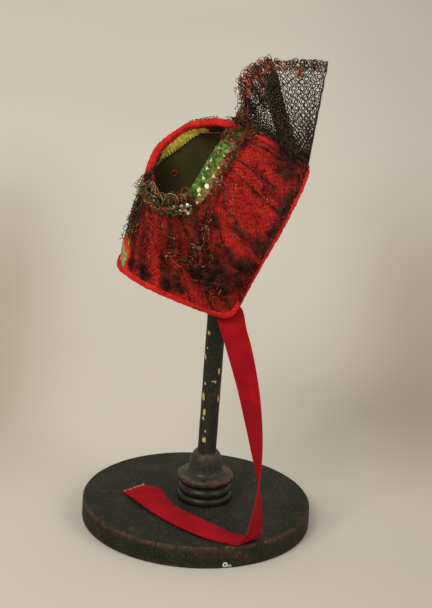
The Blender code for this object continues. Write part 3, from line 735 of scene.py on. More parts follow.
def tape_section(width, inside):
    """Closed outline of a folded tape: x off the cloth and y out of it, at shares of its length."""
    t, g = TAPE_THICKNESS, TRIM_GAP
    corners = [(-width, TAPE_OUTER), (-width, TAPE_OUTER + 0.75 * t)]
    corners.append((-0.5 * width, TAPE_OUTER + 1.15 * t))
    middle, half = (TAPE_OUTER + TAPE_INNER) / 2, (TAPE_OUTER - TAPE_INNER) / 2
    for degrees in range(90, -91, -18):
        a = math.radians(degrees)
        corners.append((g * 0.4 + t * 1.25 * math.cos(a) + g * 0.35, middle + (half + t) * math.sin(a)))
    corners += [(-0.5 * inside, TAPE_INNER - 1.1 * t), (-inside, TAPE_INNER - 0.75 * t)]
    corners += [(-inside, TAPE_INNER), (g * 0.6, TAPE_INNER + 0.1 * t), (g * 0.6, TAPE_OUTER - 0.1 * t)]
    corners.append(corners[0])
    corners = np.array(corners)
    steps = np.concatenate(([0.0], np.cumsum(np.linalg.norm(np.diff(corners, axis=0), axis=1))))
    return steps / steps[-1], corners


def folded_tape(first, last, columns, width, inside, at_rim, seed):
    """A tape folded over the cap's edge, or over its rim, from one station to another."""
    shares, corners = tape_section(width, inside)

    def place(u, v):
        station = first + (last - first) * u
        x = np.interp(v, shares, corners[:, 0])
        y = np.interp(v, shares, corners[:, 1])
        turn = station * (2 * math.pi / LOOP)
        lumpy = np.sin(turn * 61) + np.sin(turn * 97 + 1.0) + np.sin(turn * 143 + 2.0)
        y = y + 0.17 * MM * lumpy * np.sin(v * math.pi)
        x = x + 0.19 * MM * (np.sin(turn * 83 + seed) + np.sin(turn * 131) + np.sin(turn * 37))
        wrapped = np.where(station >= LOOP, station - LOOP, station)
        length = cloth_length(wrapped)
        if at_rim:
            return on_cap(wrapped, 1 + np.minimum(x, 0.0) / length, y, np.maximum(x, 0.0))
        return on_cap(wrapped, -np.minimum(x, 0.0) / length, y, -np.maximum(x, 0.0))

    tape = shaped_grid(columns, len(corners) * 2, place)
    in_edit_mode(
        tape,
        (bpy.ops.mesh.remove_doubles, {"threshold": 2e-6}),
        (bpy.ops.mesh.fill_holes, {"sides": 0}),
        (bpy.ops.mesh.normals_make_consistent, {"inside": False}),
    )
    settle(tape)
    return tape


tape_red = Finish("red_tape", roughness=0.85, gloss=0.1)
tape_fleck = tape_red.place.noise(700.0, 3.0, 0.6)
tape_red.paint(
    (176, 26, 22),
    (tape_red.place.noise(120.0, 3.0).step(0.35, 0.65), (206, 40, 32)),
    (tape_fleck.step(0.56, 0.70) * 0.5, (226, 84, 66)),
    ((1 - tape_fleck.step(0.36, 0.46)) * 0.7, (128, 18, 20)),
)
tape_red.bump(tape_fleck, 0.0005, 0.8)
edge_tape = folded_tape(0.0, LOOP, 420, EDGE_TAPE_WIDTH, EDGE_TAPE_WIDTH, False, 21)
dress(edge_tape, "edge_tape", tape_red, "red_binding", "edge_binding")
crown_tape = folded_tape(-0.15, LAST + 0.25, 240, CROWN_TAPE_WIDTH, 0.6 * CROWN_TAPE_WIDTH, True, 25)
dress(crown_tape, "crown_tape", tape_red, "red_binding", "crown_binding")

# Ruche
# A gathered yellow-green ribbon sewn inside the far rim under the red tape, its lower edge left in
# scallops. Near the brow it gives way to loops of dark purple-red thread with a paler top.

RUCHE_FIRST, RUCHE_LAST = 0.4, 11.6
RUCHE_PLEATS = 62
RUCHE_THICKNESS = 0.5 * MM
# Station, depth of the ruche below the tape in mm.
RUCHE_DEPTH = (
    (0.4, 3.0), (2.2, 4.5), (3.4, 7.5), (5.0, 9.5), (6.6, 10.0), (8.0, 9.0), (9.2, 7.5), (10.2, 6.0),
    (11.6, 4.0),
)


def ruche_place(u, v):
    station = RUCHE_FIRST + (RUCHE_LAST - RUCHE_FIRST) * u
    depth = np.interp(station, *np.array(RUCHE_DEPTH).T) * MM
    scallop = 1 + 0.16 * np.sin(u * RUCHE_PLEATS * 3.1416 + 1.0)
    down = 0.55 * CROWN_TAPE_WIDTH + v * depth * scallop
    pleat = np.sin(u * RUCHE_PLEATS * 6.283) * (0.4 + 0.6 * v) + 0.5 * np.sin(u * 171.0 + v * 2.0)
    return on_cap(station, 1 - down / cloth_length(station), TAPE_INNER + (-0.9 + 0.6 * pleat) * MM)


ruche_silk = Finish("ruche_silk", roughness=0.6)
silk_place = ruche_silk.place
ruche_down = ruche_silk.map.part(1)
# Painted shade: dark brown flecks in the hollows of the gathers just under the tape.
shade_in_gathers = silk_place.noise(330.0, 2.0).step(0.56, 0.64) * (1 - ruche_down.step(0.15, 0.55))
tips = silk_place.noise(240.0, 2.0).step(0.55, 0.62) * ruche_down.step(0.78, 0.95)
towards_brow = 1 - ruche_silk.map.part(0).step(0.20, 0.25)
ruche_silk.paint(
    (176, 162, 52),
    (silk_place.noise(260.0, 3.0).step(0.38, 0.62), (214, 206, 98)),
    (shade_in_gathers, (84, 40, 20)),
    (tips, (206, 92, 52)),
    (towards_brow, (72, 26, 32)),
)
ruche_silk.bump(silk_place.noise(900.0, 2.0), 0.0003, 0.6)
ruche = thickened(shaped_grid(620, 6, ruche_place), RUCHE_THICKNESS, 0.0)
dress(ruche, "gathered_ruche", ruche_silk, "yellow_green_ribbon", "ruche")

# Galloons
# Flat green woven galloon with a pale selvedge, in tufts of lighter and darker green. It lies outside
# the far rim under the red tape, and is folded over the near rim, where it is sewn with spangles.

GALLOON_WIDTH = 17.0 * MM
GALLOON_THICKNESS = 0.9 * MM
# The station where each galloon starts, and how many stations it runs on.
GALLOON_FAR_START, GALLOON_FAR_RUN = 0.12, 11.78
GALLOON_NEAR_START, GALLOON_NEAR_RUN = 12.8, 10.98

galloon_weave = Finish("green_galloon", roughness=0.8)
weave_place = galloon_weave.place
galloon_along = galloon_weave.map.part(0)
galloon_across = galloon_weave.map.part(1)
outer_half = (1 - galloon_across.step(0.24, 0.46)) * weave_place.noise(210.0, 2.0).step(0.36, 0.56)
# Towards the back the galloon's lower half is caught under turned-up red wool, and it is darker.
tucked = (1 - galloon_along.step(0.32, 0.46)) * (1 - galloon_across.step(0.30, 0.48))
behind_chin = 1 - galloon_along.step(0.46, 0.56)
selvedge = galloon_across.step(0.83, 0.92) * weave_place.noise(240.0, 2.0).step(0.40, 0.55)
galloon_weave.paint(
    (44, 88, 24),
    (weave_place.noise(170.0, 3.0).step(0.40, 0.62), (98, 124, 50)),
    (weave_place.noise(95.0, 2.0).step(0.55, 0.63), (58, 62, 26)),
    (weave_place.noise(150.0, 3.0).step(0.57, 0.64) * 0.8, (46, 36, 22)),
    (weave_place.noise(130.0, 2.0).step(0.60, 0.67) * 0.8, (150, 140, 92)),
    (outer_half * 0.8, (138, 98, 56)),
    (tucked, (178, 32, 26)),
    (behind_chin * 0.45, (30, 46, 24)),
    (selvedge * 0.55, (176, 160, 122)),
)
galloon_weave.bump(weave_place.cells(330.0) * 0.7 + weave_place.noise(800.0, 3.0) * 0.3, 0.0011, 0.9)


def flat_galloon(u, v):
    station = GALLOON_FAR_START + GALLOON_FAR_RUN * u
    down = CROWN_TAPE_WIDTH + GAP + (GALLOON_WIDTH - GAP) * (1 - v)
    lump = 0.15 * MM * ripple(station * 9.0, v * 5.0, 31)
    return on_cap(station, 1 - down / cloth_length(station), TAPE_OUTER + GALLOON_THICKNESS + lump)


def folded_galloon(u, v):
    station = GALLOON_NEAR_START + GALLOON_NEAR_RUN * u
    x = np.interp(v, (0.0, 0.76, 0.84, 1.0), (-GALLOON_WIDTH, 0.0, 0.0, -0.2 * GALLOON_WIDTH))
    bow = np.sin(np.clip((v - 0.74) / 0.12, 0.0, 1.0) * math.pi)
    outer, inner = TAPE_OUTER + GALLOON_THICKNESS, TAPE_INNER - GALLOON_THICKNESS
    y = np.interp(v, (0.0, 0.74, 0.86, 1.0), (outer, outer, inner, inner))
    y = y + 0.18 * MM * ripple(station * 9.0, v * 5.0, 33)
    length = cloth_length(station)
    return on_cap(station, 1 + x / length, y, bow * (TRIM_GAP + GALLOON_THICKNESS))


galloon_far = thickened(shaped_grid(240, 14, flat_galloon), GALLOON_THICKNESS)
dress(galloon_far, "galloon_far_weave", galloon_weave, "green_galloon", "galloon_far")
galloon_near = thickened(shaped_grid(240, 36, folded_galloon), GALLOON_THICKNESS)
dress(galloon_near, "galloon_near_weave", galloon_weave, "green_galloon", "galloon_near")

# Spangles
# Small thin discs, cream and silvery, each a little cupped. They are sewn to the near galloon and
# lie at slightly different tilts.

SPANGLE_THICKNESS = 0.5 * MM
SPANGLE_TILT = 0.35
# Station on the near side, share of the way to the rim, radius in mm, row of the next table.
SPANGLES = (
    (2.10, 0.985, 2.0, 0), (2.90, 0.985, 2.6, 0), (3.45, 0.985, 2.8, 0), (4.05, 0.975, 2.6, 0),
    (4.90, 0.965, 2.8, 1), (4.20, 0.915, 3.0, 1), (3.50, 0.895, 2.6, 0), (2.95, 0.890, 2.2, 0),
    (5.00, 0.930, 2.4, 0), (2.30, 0.900, 1.9, 0), (7.25, 0.935, 1.1, 2), (6.15, 0.940, 1.0, 2),
    (6.95, 0.965, 1.8, 2), (6.60, 0.905, 1.9, 2), (6.75, 0.925, 1.4, 2), (5.50, 0.920, 1.2, 2),
    (6.40, 0.955, 1.9, 2), (7.70, 0.970, 0.9, 2), (8.30, 0.950, 0.8, 2), (1.30, 0.930, 1.3, 0),
    (9.60, 0.960, 0.9, 2), (10.6, 0.950, 0.8, 2),
)
SPANGLE_KINDS = (
    # name, colour, metallic, corners, height over the galloon in mm
    ("cream_spangle", (206, 174, 118), 0.1, 3, 1.0),
    ("pale_spangle", (232, 214, 172), 0.2, 5, 2.7),
    ("silver_spangle", (196, 198, 192), 0.8, 7, 4.4),
)

chance = np.random.default_rng(12)
for row, (name, colour, metallic, corners, height) in enumerate(SPANGLE_KINDS):
    discs = []
    for station, rise, radius, kind in SPANGLES:
        if kind != row:
            continue
        level = TAPE_OUTER + GALLOON_THICKNESS + height * MM
        foot, onto, place = on_cap([LOOP - station] * 3, [rise] * 3, [0.0, MM, level])
        outward = Vector((onto - foot).tolist()).normalized()
        tilt = Vector(chance.uniform(-SPANGLE_TILT, SPANGLE_TILT, 3).tolist())
        select_only()
        bpy.ops.mesh.primitive_cone_add(
            vertices=corners, radius1=radius * MM, radius2=0.45 * radius * MM, depth=SPANGLE_THICKNESS,
            location=place.tolist(), rotation=(outward + tilt).to_track_quat("Z", "Y").to_euler(),
        )
        discs.append(bpy.context.object)
    select_only(discs[0])
    for disc in discs:
        disc.select_set(True)
    bpy.ops.object.join()
    shine = Finish(name, roughness=0.3, gloss=0.5, metallic=metallic)
    # Painted glints: pale near-white flecks laid over each spangle's colour.
    shine.paint(colour, (shine.place.noise(900.0, 1.0).step(0.35, 0.65) * 0.5, (250, 240, 214)))
    settle(discs[0], 30.0)
    dress(discs[0], name, shine, "green_galloon")

# Net over the sides
# Fine black knotted net, laid full over both wool sides and caught under the galloon and along the
# binding. It is pleated back on itself in places, and bunches up dark against the binding.

NET_HEM = EDGE_TAPE_WIDTH + 0.6 * MM
NET_LEVEL = WOOL_THICKNESS + TRIM_GAP
NET_FIRST, NET_LAST = 0.4, 11.2
THREAD_RADIUS = 0.17 * MM
BUNCH_RADIUS = 0.24 * MM
THREAD_SIDES = 3
NET_PITCH = 2.6 * MM
NET_PERIOD = 6.8 * MM
# Mean width of a station and mean height of a side, for spacing the threads.
STATION_WIDTH = 22.0 * MM
SIDE_HEIGHT = 0.088
# Pleats of the net's ground: station on the near side, width in stations.
PLEATS = (
    (0.75, 0.30), (1.95, 0.22), (2.55, 0.20), (4.15, 0.20), (5.15, 0.30), (6.4, 0.45), (7.6, 0.36),
    (8.55, 0.24), (9.35, 0.22), (10.25, 0.26), (10.95, 0.22),
)
PLEAT_GAP = 0.02
# Where the net lies double or more on the near side, with ragged ends.
NET_PATCHES = (
    # first station, last, lowest share of the way up, highest, lean to the rear, layers
    (3.70, 3.95, 0.07, 0.50, 0.30, 1),
    (-0.1, 0.70, 0.03, 0.62, 0.00, 2),
    (0.60, 1.40, 0.07, 0.42, 0.00, 1),
    (2.15, 2.50, 0.07, 0.30, 0.10, 1),
    (5.25, 6.30, 0.10, 0.50, 0.20, 1),
    (6.00, 7.30, 0.12, 0.56, 0.20, 1),
    (6.70, 7.90, 0.10, 0.52, 0.20, 1),
    (7.50, 8.90, 0.36, 0.72, 0.00, 1),
    (9.00, 9.45, 0.07, 0.90, 0.10, 1),
    (10.05, 10.50, 0.07, 0.88, 0.10, 2),
    (10.95, 11.50, 0.30, 0.95, 0.00, 2),
)
# Thickets of caught and tangled net on the near side.
THICKETS = (
    # station, share of the way up, half size in stations and in shares, number of ends, lift in mm
    (0.25, 0.26, 0.35, 0.24, 70, 1.2), (0.85, 0.22, 0.40, 0.16, 30, 1.2),
    (1.30, 0.28, 0.30, 0.14, 24, 1.0), (1.70, 0.09, 0.40, 0.05, 34, 1.6),
    (2.35, 0.10, 0.30, 0.06, 30, 1.4), (2.30, 0.34, 0.20, 0.12, 12, 1.0),
    (3.20, 0.09, 0.50, 0.04, 24, 1.4), (3.80, 0.10, 0.22, 0.06, 44, 1.6),
    (4.15, 0.42, 0.14, 0.20, 16, 1.2), (4.45, 0.10, 0.40, 0.05, 24, 1.6),
    (4.85, 0.20, 0.22, 0.10, 36, 1.6), (4.80, 0.68, 0.25, 0.08, 26, 1.4),
    (5.30, 0.12, 0.25, 0.10, 34, 1.4), (5.20, 0.48, 0.20, 0.10, 14, 1.2),
    (5.90, 0.34, 0.40, 0.16, 60, 1.6), (6.60, 0.28, 0.50, 0.14, 44, 1.6),
    (7.20, 0.34, 0.60, 0.14, 60, 1.6), (7.90, 0.38, 0.50, 0.12, 40, 1.6),
    (6.20, 0.16, 0.30, 0.06, 16, 1.4), (8.75, 0.18, 0.22, 0.08, 42, 1.8),
    (9.35, 0.16, 0.22, 0.10, 36, 1.8), (10.25, 0.17, 0.24, 0.10, 44, 1.8),
    (10.95, 0.17, 0.20, 0.06, 20, 1.4), (8.30, 0.48, 0.40, 0.08, 36, 1.8),
    (6.60, 0.60, 0.50, 0.10, 34, 1.8), (9.20, 0.40, 0.40, 0.20, 10, 1.2),
    (11.15, 0.60, 0.25, 0.26, 44, 1.2), (2.60, 0.46, 2.30, 0.34, 40, 0.9),
    (1.20, 0.82, 0.90, 0.05, 20, 2.0), (3.20, 0.81, 1.20, 0.06, 30, 2.2),
    (5.20, 0.76, 0.70, 0.07, 36, 2.2), (6.30, 0.94, 0.70, 0.07, 80, 2.4),
    (7.60, 0.97, 0.90, 0.06, 80, 2.4), (9.20, 0.98, 1.00, 0.05, 80, 2.4),
    (10.8, 0.97, 0.80, 0.06, 80, 2.4), (7.60, 1.04, 1.30, 0.04, 60, 2.0),
    (10.1, 1.04, 1.40, 0.03, 60, 2.0), (0.40, 0.82, 0.30, 0.08, 36, 2.0),
    (0.20, 0.94, 0.40, 0.08, 44, 2.4), (-0.3, 0.99, 0.50, 0.05, 50, 3.0),
    (11.5, 0.66, 0.25, 0.30, 50, 1.6), (11.6, 1.04, 0.40, 0.06, 60, 4.0),
)


def tube_mesh(name, strands):
    """One mesh of thin closed tubes. A strand is its points and its radius or radii."""
    points, quads, ends, total = [], [], [], 0
    sides = THREAD_SIDES
    turns = [2 * math.pi * k / sides for k in range(sides)]
    for path, radius in strands:
        path = np.asarray(path)
        count = len(path)
        tangent = np.gradient(path, axis=0)
        tangent /= np.linalg.norm(tangent, axis=1, keepdims=True) + 1e-12
        helper = np.where(np.abs(tangent[:, 2:3]) > 0.9, (1.0, 0.0, 0.0), (0.0, 0.0, 1.0))
        first = np.cross(tangent, helper)
        first /= np.linalg.norm(first, axis=1, keepdims=True) + 1e-12
        second = np.cross(tangent, first)
        wide = np.broadcast_to(np.asarray(radius, float), (count,))[:, None]
        rings = [path + wide * (math.cos(a) * first + math.sin(a) * second) for a in turns]
        points.append(np.stack(rings, 1).reshape(-1, 3))
        at = total + np.arange(count - 1)[:, None] * sides
        k = np.arange(sides)[None, :]
        after = (k + 1) % sides
        quads.append(np.stack((at + k, at + after, at + sides + after, at + sides + k), -1).reshape(-1, 4))
        ends.append(list(range(total + sides - 1, total - 1, -1)))
        ends.append(list(range(total + (count - 1) * sides, total + count * sides)))
        total += count * sides
    mesh = bpy.data.meshes.new(name)
    mesh.from_pydata(np.concatenate(points), [], np.concatenate(quads).tolist() + ends)
    mesh.update()
    mesh.shade_smooth()
    obj = bpy.data.objects.new(name, mesh)
    bpy.context.scene.collection.objects.link(obj)
    return obj


def net_finish(name, scale, dark, light):
    """Dull black thread, its colour going from dark to light in flecks of some scale."""
    finish = Finish(name, roughness=0.9, gloss=0.04)
    finish.paint(dark, (finish.place.noise(scale, 3.0).step(0.40, 0.62), light))
    finish.bump(finish.place.noise(2500.0, 2.0), 0.0001, 0.5)
    return finish


def net_threads(width, height, pitch, period, chance, ragged=0.0, split=0.0, loose=0.06):
    """Threads of knotted net in flat cloth: arrays of (across, along) that touch at the knots.

    Each thread swings to one neighbour and back to the other, and holds on to each for a knot.
    With a split it is two strands that far to either side, in pitches, and the holes are narrower.
    """
    threads = []
    count = max(int(round(width / pitch)), 1)
    steps = max(int(round(height / period * 6)), 6)
    along = np.arange(steps + 1) * (height / steps)
    sway = np.array((1.0, 1.0, 0.0, -1.0, -1.0, 0.0)) * (0.47 - 0.9 * split) * pitch
    for k in range(count * (2 if split else 1)):
        thread, side = (k // 2, 2 * (k % 2) - 1) if split else (k, 0)
        swing = sway[(np.arange(steps + 1) + 3 * (thread % 2)) % 6]
        jitter = chance.normal(0.0, (0.24 if not split else 0.09) * pitch, steps + 1)
        across = (thread + 0.5) * width / count + side * split * pitch + swing + jitter
        climb = along + chance.normal(0.0, loose * period, steps + 1)
        first = int(chance.uniform(0, ragged) * steps)
        last = steps + 1 - int(chance.uniform(0, ragged) * steps)
        if last - first > 2:
            threads.append((across[first:last], climb[first:last]))
    return threads


def pleated_ground():
    """The net's run over its pleats: how far along the net, which station, which layer."""
    stops, run, here = [(0.0, NET_FIRST, 0.0)], 0.0, NET_FIRST
    for centre, wide in PLEATS:
        start, end = centre - wide / 2, centre + wide / 2
        run += start - here
        stops.append((run, start, 0.0))
        for layer, goal in ((1.0, end), (2.0, start), (3.0, end)):
            run += wide
            stops.append((run, goal, layer))
        run += PLEAT_GAP
        here = end + PLEAT_GAP
        stops.append((run, here, 0.0))
    run += NET_LAST - here
    stops.append((run, NET_LAST, 0.0))
    return np.array(stops)


def side_net(near, seed):
    """The net's ground over one side, from the binding to the galloon."""
    chance = np.random.default_rng(seed)
    runs, stations, layers = pleated_ground().T
    width = runs[-1] * STATION_WIDTH
    strands = []
    sheets = net_threads(width, 1.0, NET_PITCH, NET_PERIOD / SIDE_HEIGHT, chance, loose=0.13)
    if near:
        fine_period = 0.8 * NET_PERIOD / SIDE_HEIGHT
        sheets += net_threads(width, 1.0, 1.1 * NET_PITCH, fine_period, chance, loose=0.16)
    for across, along in sheets:
        share = np.clip(along, 0.0, 1.0)
        u = np.clip(across / width, 0.0, 1.0)
        depth = np.clip(0.55 + 0.6 * ripple(u * 9.0, share * 3.0, 88), 0.1, 1.0)
        unpleated = NET_FIRST + (NET_LAST - NET_FIRST) * u
        station = np.interp(u * runs[-1], runs, stations) * depth + unpleated * (1 - depth)
        layer = np.interp(u * runs[-1], runs, layers) * depth
        length = cloth_length(station)
        over = np.clip((station - 7.0) / 0.8, 0.0, 1.0) * 9.0 * MM
        band = GALLOON_WIDTH - 2 * MM + (-over if near else CROWN_TAPE_WIDTH)
        low = NET_HEM / length
        high = 1 - band / length
        rise = low + (high - low) * share
        slump = 0.05 * np.sin(share * 5.0 + station * 2.0)
        puff = 0.4 + 0.35 * ripple(station * 2.0, share * 8.0, 77) + 0.45 * layer
        out = NET_LEVEL + THREAD_RADIUS + np.maximum(puff, 0.1) * MM * np.sin(share * math.pi) ** 0.5
        on_galloon = np.clip((rise * length - length + GALLOON_WIDTH + MM) / MM, 0, 1)
        out = out + (GALLOON_THICKNESS + 0.1 * MM) * on_galloon
        place = LOOP - station - slump if near else station + slump
        strands.append((on_cap(place, rise, out), THREAD_RADIUS * chance.uniform(0.85, 1.15)))
    return strands


def net_patch(first, last, low, high, lean, layers, chance):
    middle = cloth_length((first + last) / 2)
    strands = []
    for layer in range(layers):
        width, height = (last - first) * STATION_WIDTH, (high - low) * float(middle)
        shift = chance.uniform(-0.06, 0.06)
        for across, along in net_threads(width, height, NET_PITCH, NET_PERIOD, chance, 0.35):
            share = along / height
            station = first + (last - first) * across / width + lean * share + shift
            rise = low + (high - low) * share
            out = NET_LEVEL + (0.6 + 0.5 * layer) * MM + 0.5 * MM * ripple(station * 3, share * 6, 51)
            strands.append((on_cap(LOOP - station, rise, out), THREAD_RADIUS * chance.uniform(0.8, 1.1)))
    return strands


def scribbles(count, length, turns, chance, points):
    """Flat curly lines about the origin, as two arrays of points in metres, a row for each line."""
    bend = chance.normal(0.0, turns, (count, 1)) * 2 * math.pi
    heading = chance.uniform(0, 2 * math.pi, (count, 1)) + bend * np.linspace(-0.5, 0.5, points)
    heading = heading + np.cumsum(chance.normal(0, 0.5, (count, points)), axis=1)
    stride = length * MM / points * chance.uniform(0.5, 1.5, (count, 1))
    a = np.cumsum(np.cos(heading), axis=1) * stride
    b = np.cumsum(np.sin(heading), axis=1) * stride
    return a - a.mean(axis=1, keepdims=True), b - b.mean(axis=1, keepdims=True)


def tangle(place, count, length, turns, lift, chance, points=11):
    """Curly ends lying on the near side within a patch: station, share up, and half of its size."""
    station, rise, half_station, half_rise = place
    a, b = scribbles(count, length, turns, chance, points)
    at = station + half_station * chance.uniform(-1, 1, (count, 1)) * chance.uniform(0.3, 1, (count, 1))
    up = rise + half_rise * chance.uniform(-1, 1, (count, 1)) * chance.uniform(0.3, 1, (count, 1))
    wide = np.linalg.norm(on_cap(LOOP - at + 0.05, up) - on_cap(LOOP - at - 0.05, up), axis=-1) / 0.1
    high = cloth_length(np.clip(LOOP - at, LAST, LOOP))
    level = lift * chance.uniform(0.1, 1.0, (count, 1))
    arch = 0.5 * lift * np.sin(np.linspace(0, 3.1, points) * chance.uniform(0.6, 2.5, (count, 1)))
    return list(on_cap(LOOP - at + a / wide, up + b / high, NET_LEVEL + 0.5 * MM + (level + arch) * MM))


net_black = net_finish("black_net", 160.0, (38, 28, 22), (74, 56, 42))
dress(tube_mesh("net_near", side_net(True, 41)), "net_near", net_black, "black_net", "net_side_near")
dress(tube_mesh("net_far", side_net(False, 43)), "net_far", net_black, "black_net", "net_side_far")

chance = np.random.default_rng(61)
patch_strands = []
for row in NET_PATCHES:
    patch_strands += net_patch(*row, chance)
dress(tube_mesh("net_doubled", patch_strands), "net_doubled", net_black, "black_net")
bunched_strands = []
for *place, count, lift in THICKETS:
    for path in tangle(place, count, 9.0, 0.8, lift, chance):
        bunched_strands.append((path, BUNCH_RADIUS * chance.uniform(0.8, 1.25)))
# Net caught over the inner part of the tape along the face.
for station in np.arange(0.3, 5.9, 0.4):
    up = 0.80 * EDGE_TAPE_WIDTH / float(cloth_length(station))
    for path in tangle((station, up, 0.3, 0.016), 30, 6.0, 0.8, 2.0, chance):
        bunched_strands.append((path, BUNCH_RADIUS * chance.uniform(0.8, 1.25)))
dress(tube_mesh("net_tangles", bunched_strands), "net_tangles", net_black, "black_net")

# Net frill
# A straight piece of the same net gathered on the seam over the brow, so that it stands up as a fan.
# One fold of several layers makes a dark bar through it, and its top edge is looped.

FAN_RADIUS = 116.0 * MM
FAN_START_DEG, FAN_SWEEP_DEG = 20.0, 62.0
FAN_WAVE = 6.0 * MM
FAN_FOOT_LEVEL = 4.2 * MM
FAN_TOP_WIDTH = 125.0 * MM
FRILL_TANGLE_RADIUS = 0.42 * MM
# Share of the way round, length from the brow as a share of the radius.
FAN_EDGE = np.array((
    (0.00, 1.00), (0.20, 1.01), (0.36, 1.03), (0.45, 1.09), (0.60, 1.05), (0.72, 0.98), (0.84, 0.83),
    (1.00, 0.76),
))
# The fold's two edges: share of the way round at the top, and what is added going down.
FOLD_FRONT, FOLD_BACK = (0.395, 0.08, 0.0), (0.505, 0.17, 0.13)
FRILL_LAYERS = (
    # zone, first and last share of it, columns, periods, aside and radius in mm, height, split
    (0, 0.0, 1.0, 10, 16, 0.0, 0.60, 1.0, 0.25),
    (0, 0.02, 1.0, 8, 13, 1.8, 0.26, 0.97, 0.0),
    *((1, 0.05 * (k % 3), 1 - 0.05 * (k % 3), 9, 15, (k - 3.5) * 0.8, 0.62, 0.86, 0.0) for k in range(8)),
    (2, 0.0, 1.0, 9, 15, 0.5, 0.46, 1.0, 0.25),
    (2, 0.35, 0.97, 9, 14, -2.4, 0.34, 0.92, 0.0),
    (2, 0.05, 1.0, 12, 21, 2.2, 0.30, 0.80, 0.0),
)
# Thickets of tangled net on the frill.
FRILL_THICKETS = (
    # share of the way round, height, half of each, half thickness in mm, number of ends
    (0.50, 0.46, 0.045, 0.40, 3.0, 150), (0.48, 0.92, 0.07, 0.05, 4.0, 34),
    (0.61, 0.70, 0.05, 0.15, 4.0, 90), (0.74, 0.78, 0.08, 0.12, 4.0, 44),
    (0.84, 0.66, 0.07, 0.14, 4.0, 20), (0.90, 0.24, 0.06, 0.14, 3.5, 20),
    (0.60, 0.06, 0.36, 0.06, 3.0, 46), (0.20, 0.05, 0.20, 0.05, 3.0, 40),
)


def fan_at(share, height, aside=0.0):
    """World points of the frill: share goes round from the brow, height from its foot to its top."""
    share, height = np.broadcast_arrays(np.asarray(share, float), np.asarray(height, float))
    rise = 0.02 + 0.74 * np.clip(share, 0.0, 1.0) ** 2.5
    zero = np.zeros_like(rise)
    foot = cap_surface(zero, rise) + cap_directions(zero, rise)[0] * FAN_FOOT_LEVEL
    angle = np.radians(FAN_START_DEG + FAN_SWEEP_DEG * share)
    wave = FAN_WAVE * np.sin(share * 5.5 * math.pi)
    reach = FAN_RADIUS * np.interp(share, FAN_EDGE[:, 0], FAN_EDGE[:, 1]) - 0.45 * wave
    brow = cap_surface(np.zeros(1), np.zeros(1))
    direction = np.stack((-np.sin(angle), zero, np.cos(angle)), -1)
    tip = brow + direction * reach[..., None]
    h = height[..., None]
    points = foot * (1 - h) + tip * h
    points[..., 1] = wave * height + aside
    return cap_world(points)


def fan_layer(zone, first, last, columns, periods, aside, radius, high, split, chance):
    """One layer of the frill's net in front of the fold (zone 0), in it (1) or behind it (2)."""
    strands = []
    for across, along in net_threads(1.0, 1.0, 1.0 / columns, 1.0 / periods, chance, split=split):
        height = high * np.clip(along, 0.0, 1.0)
        down = 1 - height
        fold = [at + lean * down + flare * down ** 2 for at, lean, flare in (FOLD_FRONT, FOLD_BACK)]
        bounds = (0.0 * down, *fold, 1.0 + 0.0 * down)
        inside = first + (last - first) * np.clip(across, -0.02, 1.02)
        share = bounds[zone] + (bounds[zone + 1] - bounds[zone]) * inside
        knots = np.where(np.arange(len(height)) % 3 == 0, 0.9, 1.15)
        strands.append((fan_at(share, height, aside * MM), radius * MM * knots))
    return strands


def frill_tangle(place, count, length, turns, chance):
    """Curly ends about the frill within a patch: share round, height, and half of its size."""
    share, height, half_share, half_height, thick = place
    points = 10
    a, b = scribbles(count, length, turns, chance, points)
    at = share + half_share * chance.uniform(-1, 1, (count, 1))
    up = height + half_height * chance.uniform(-1, 1, (count, 1))
    wide = FAN_TOP_WIDTH * (0.18 + 0.82 * np.clip(up, 0.0, 1.1))
    aside = thick * MM * chance.uniform(-1, 1, (count, 1)) * np.linspace(0.4, 1.0, points)
    return list(fan_at(at + a / wide, up + b / FAN_RADIUS, aside))


chance = np.random.default_rng(71)
fan_strands = []
for row in FRILL_LAYERS:
    fan_strands += fan_layer(*row, chance)
for *place, count in FRILL_THICKETS:
    for path in frill_tangle(place, count, 11.0, 0.8, chance):
        fan_strands.append((path, FRILL_TANGLE_RADIUS * chance.uniform(0.7, 1.2)))
# The selvedge along the straight edge over the brow is a doubled cord.
climb = np.linspace(0.0, 1.0, 60)
fan_strands.append((fan_at(-0.004 + 0.003 * np.sin(climb * 40), climb), 0.62 * MM))
fan_strands.append((fan_at(0.006 + 0.003 * np.cos(climb * 37), climb), 0.45 * MM))
frill_net = net_finish("frill_net", 500.0, (40, 32, 24), (74, 62, 46))
dress(tube_mesh("net_frill", fan_strands), "net_frill", frill_net, "black_net", "net_fan")

# Looped threads
# Curled and tangled ends of thick thread along the net's edges: beside the galloon, along the crown's
# rim, over the brow seam and along the top of the frill, in reds, browns, pink, olive, cream and black.

THREAD_COLOURS = {
    "red": ((176, 34, 30), (120, 20, 22)),
    "rust": ((168, 82, 50), (108, 44, 28)),
    "olive": ((82, 106, 48), (44, 66, 30)),
    "cream": ((176, 160, 132), (112, 98, 78)),
    "black": ((58, 44, 34), (34, 25, 20)),
    "pink": ((204, 122, 104), (150, 70, 58)),
    "brown": ((118, 82, 64), (74, 50, 40)),
    "orange": ((206, 84, 30), (160, 52, 24)),
    "purple": ((118, 38, 44), (66, 24, 32)),
    "wool": ((206, 42, 34), (150, 26, 24)),
}
END_RADIUS = 0.33 * MM
RIM_LOOP_RADIUS = 0.54 * MM
HAIR_RADIUS = 0.30 * MM
FRILL_END_RADIUS = 0.50 * MM
STRAY_HAIR_RADIUS = 0.22 * MM
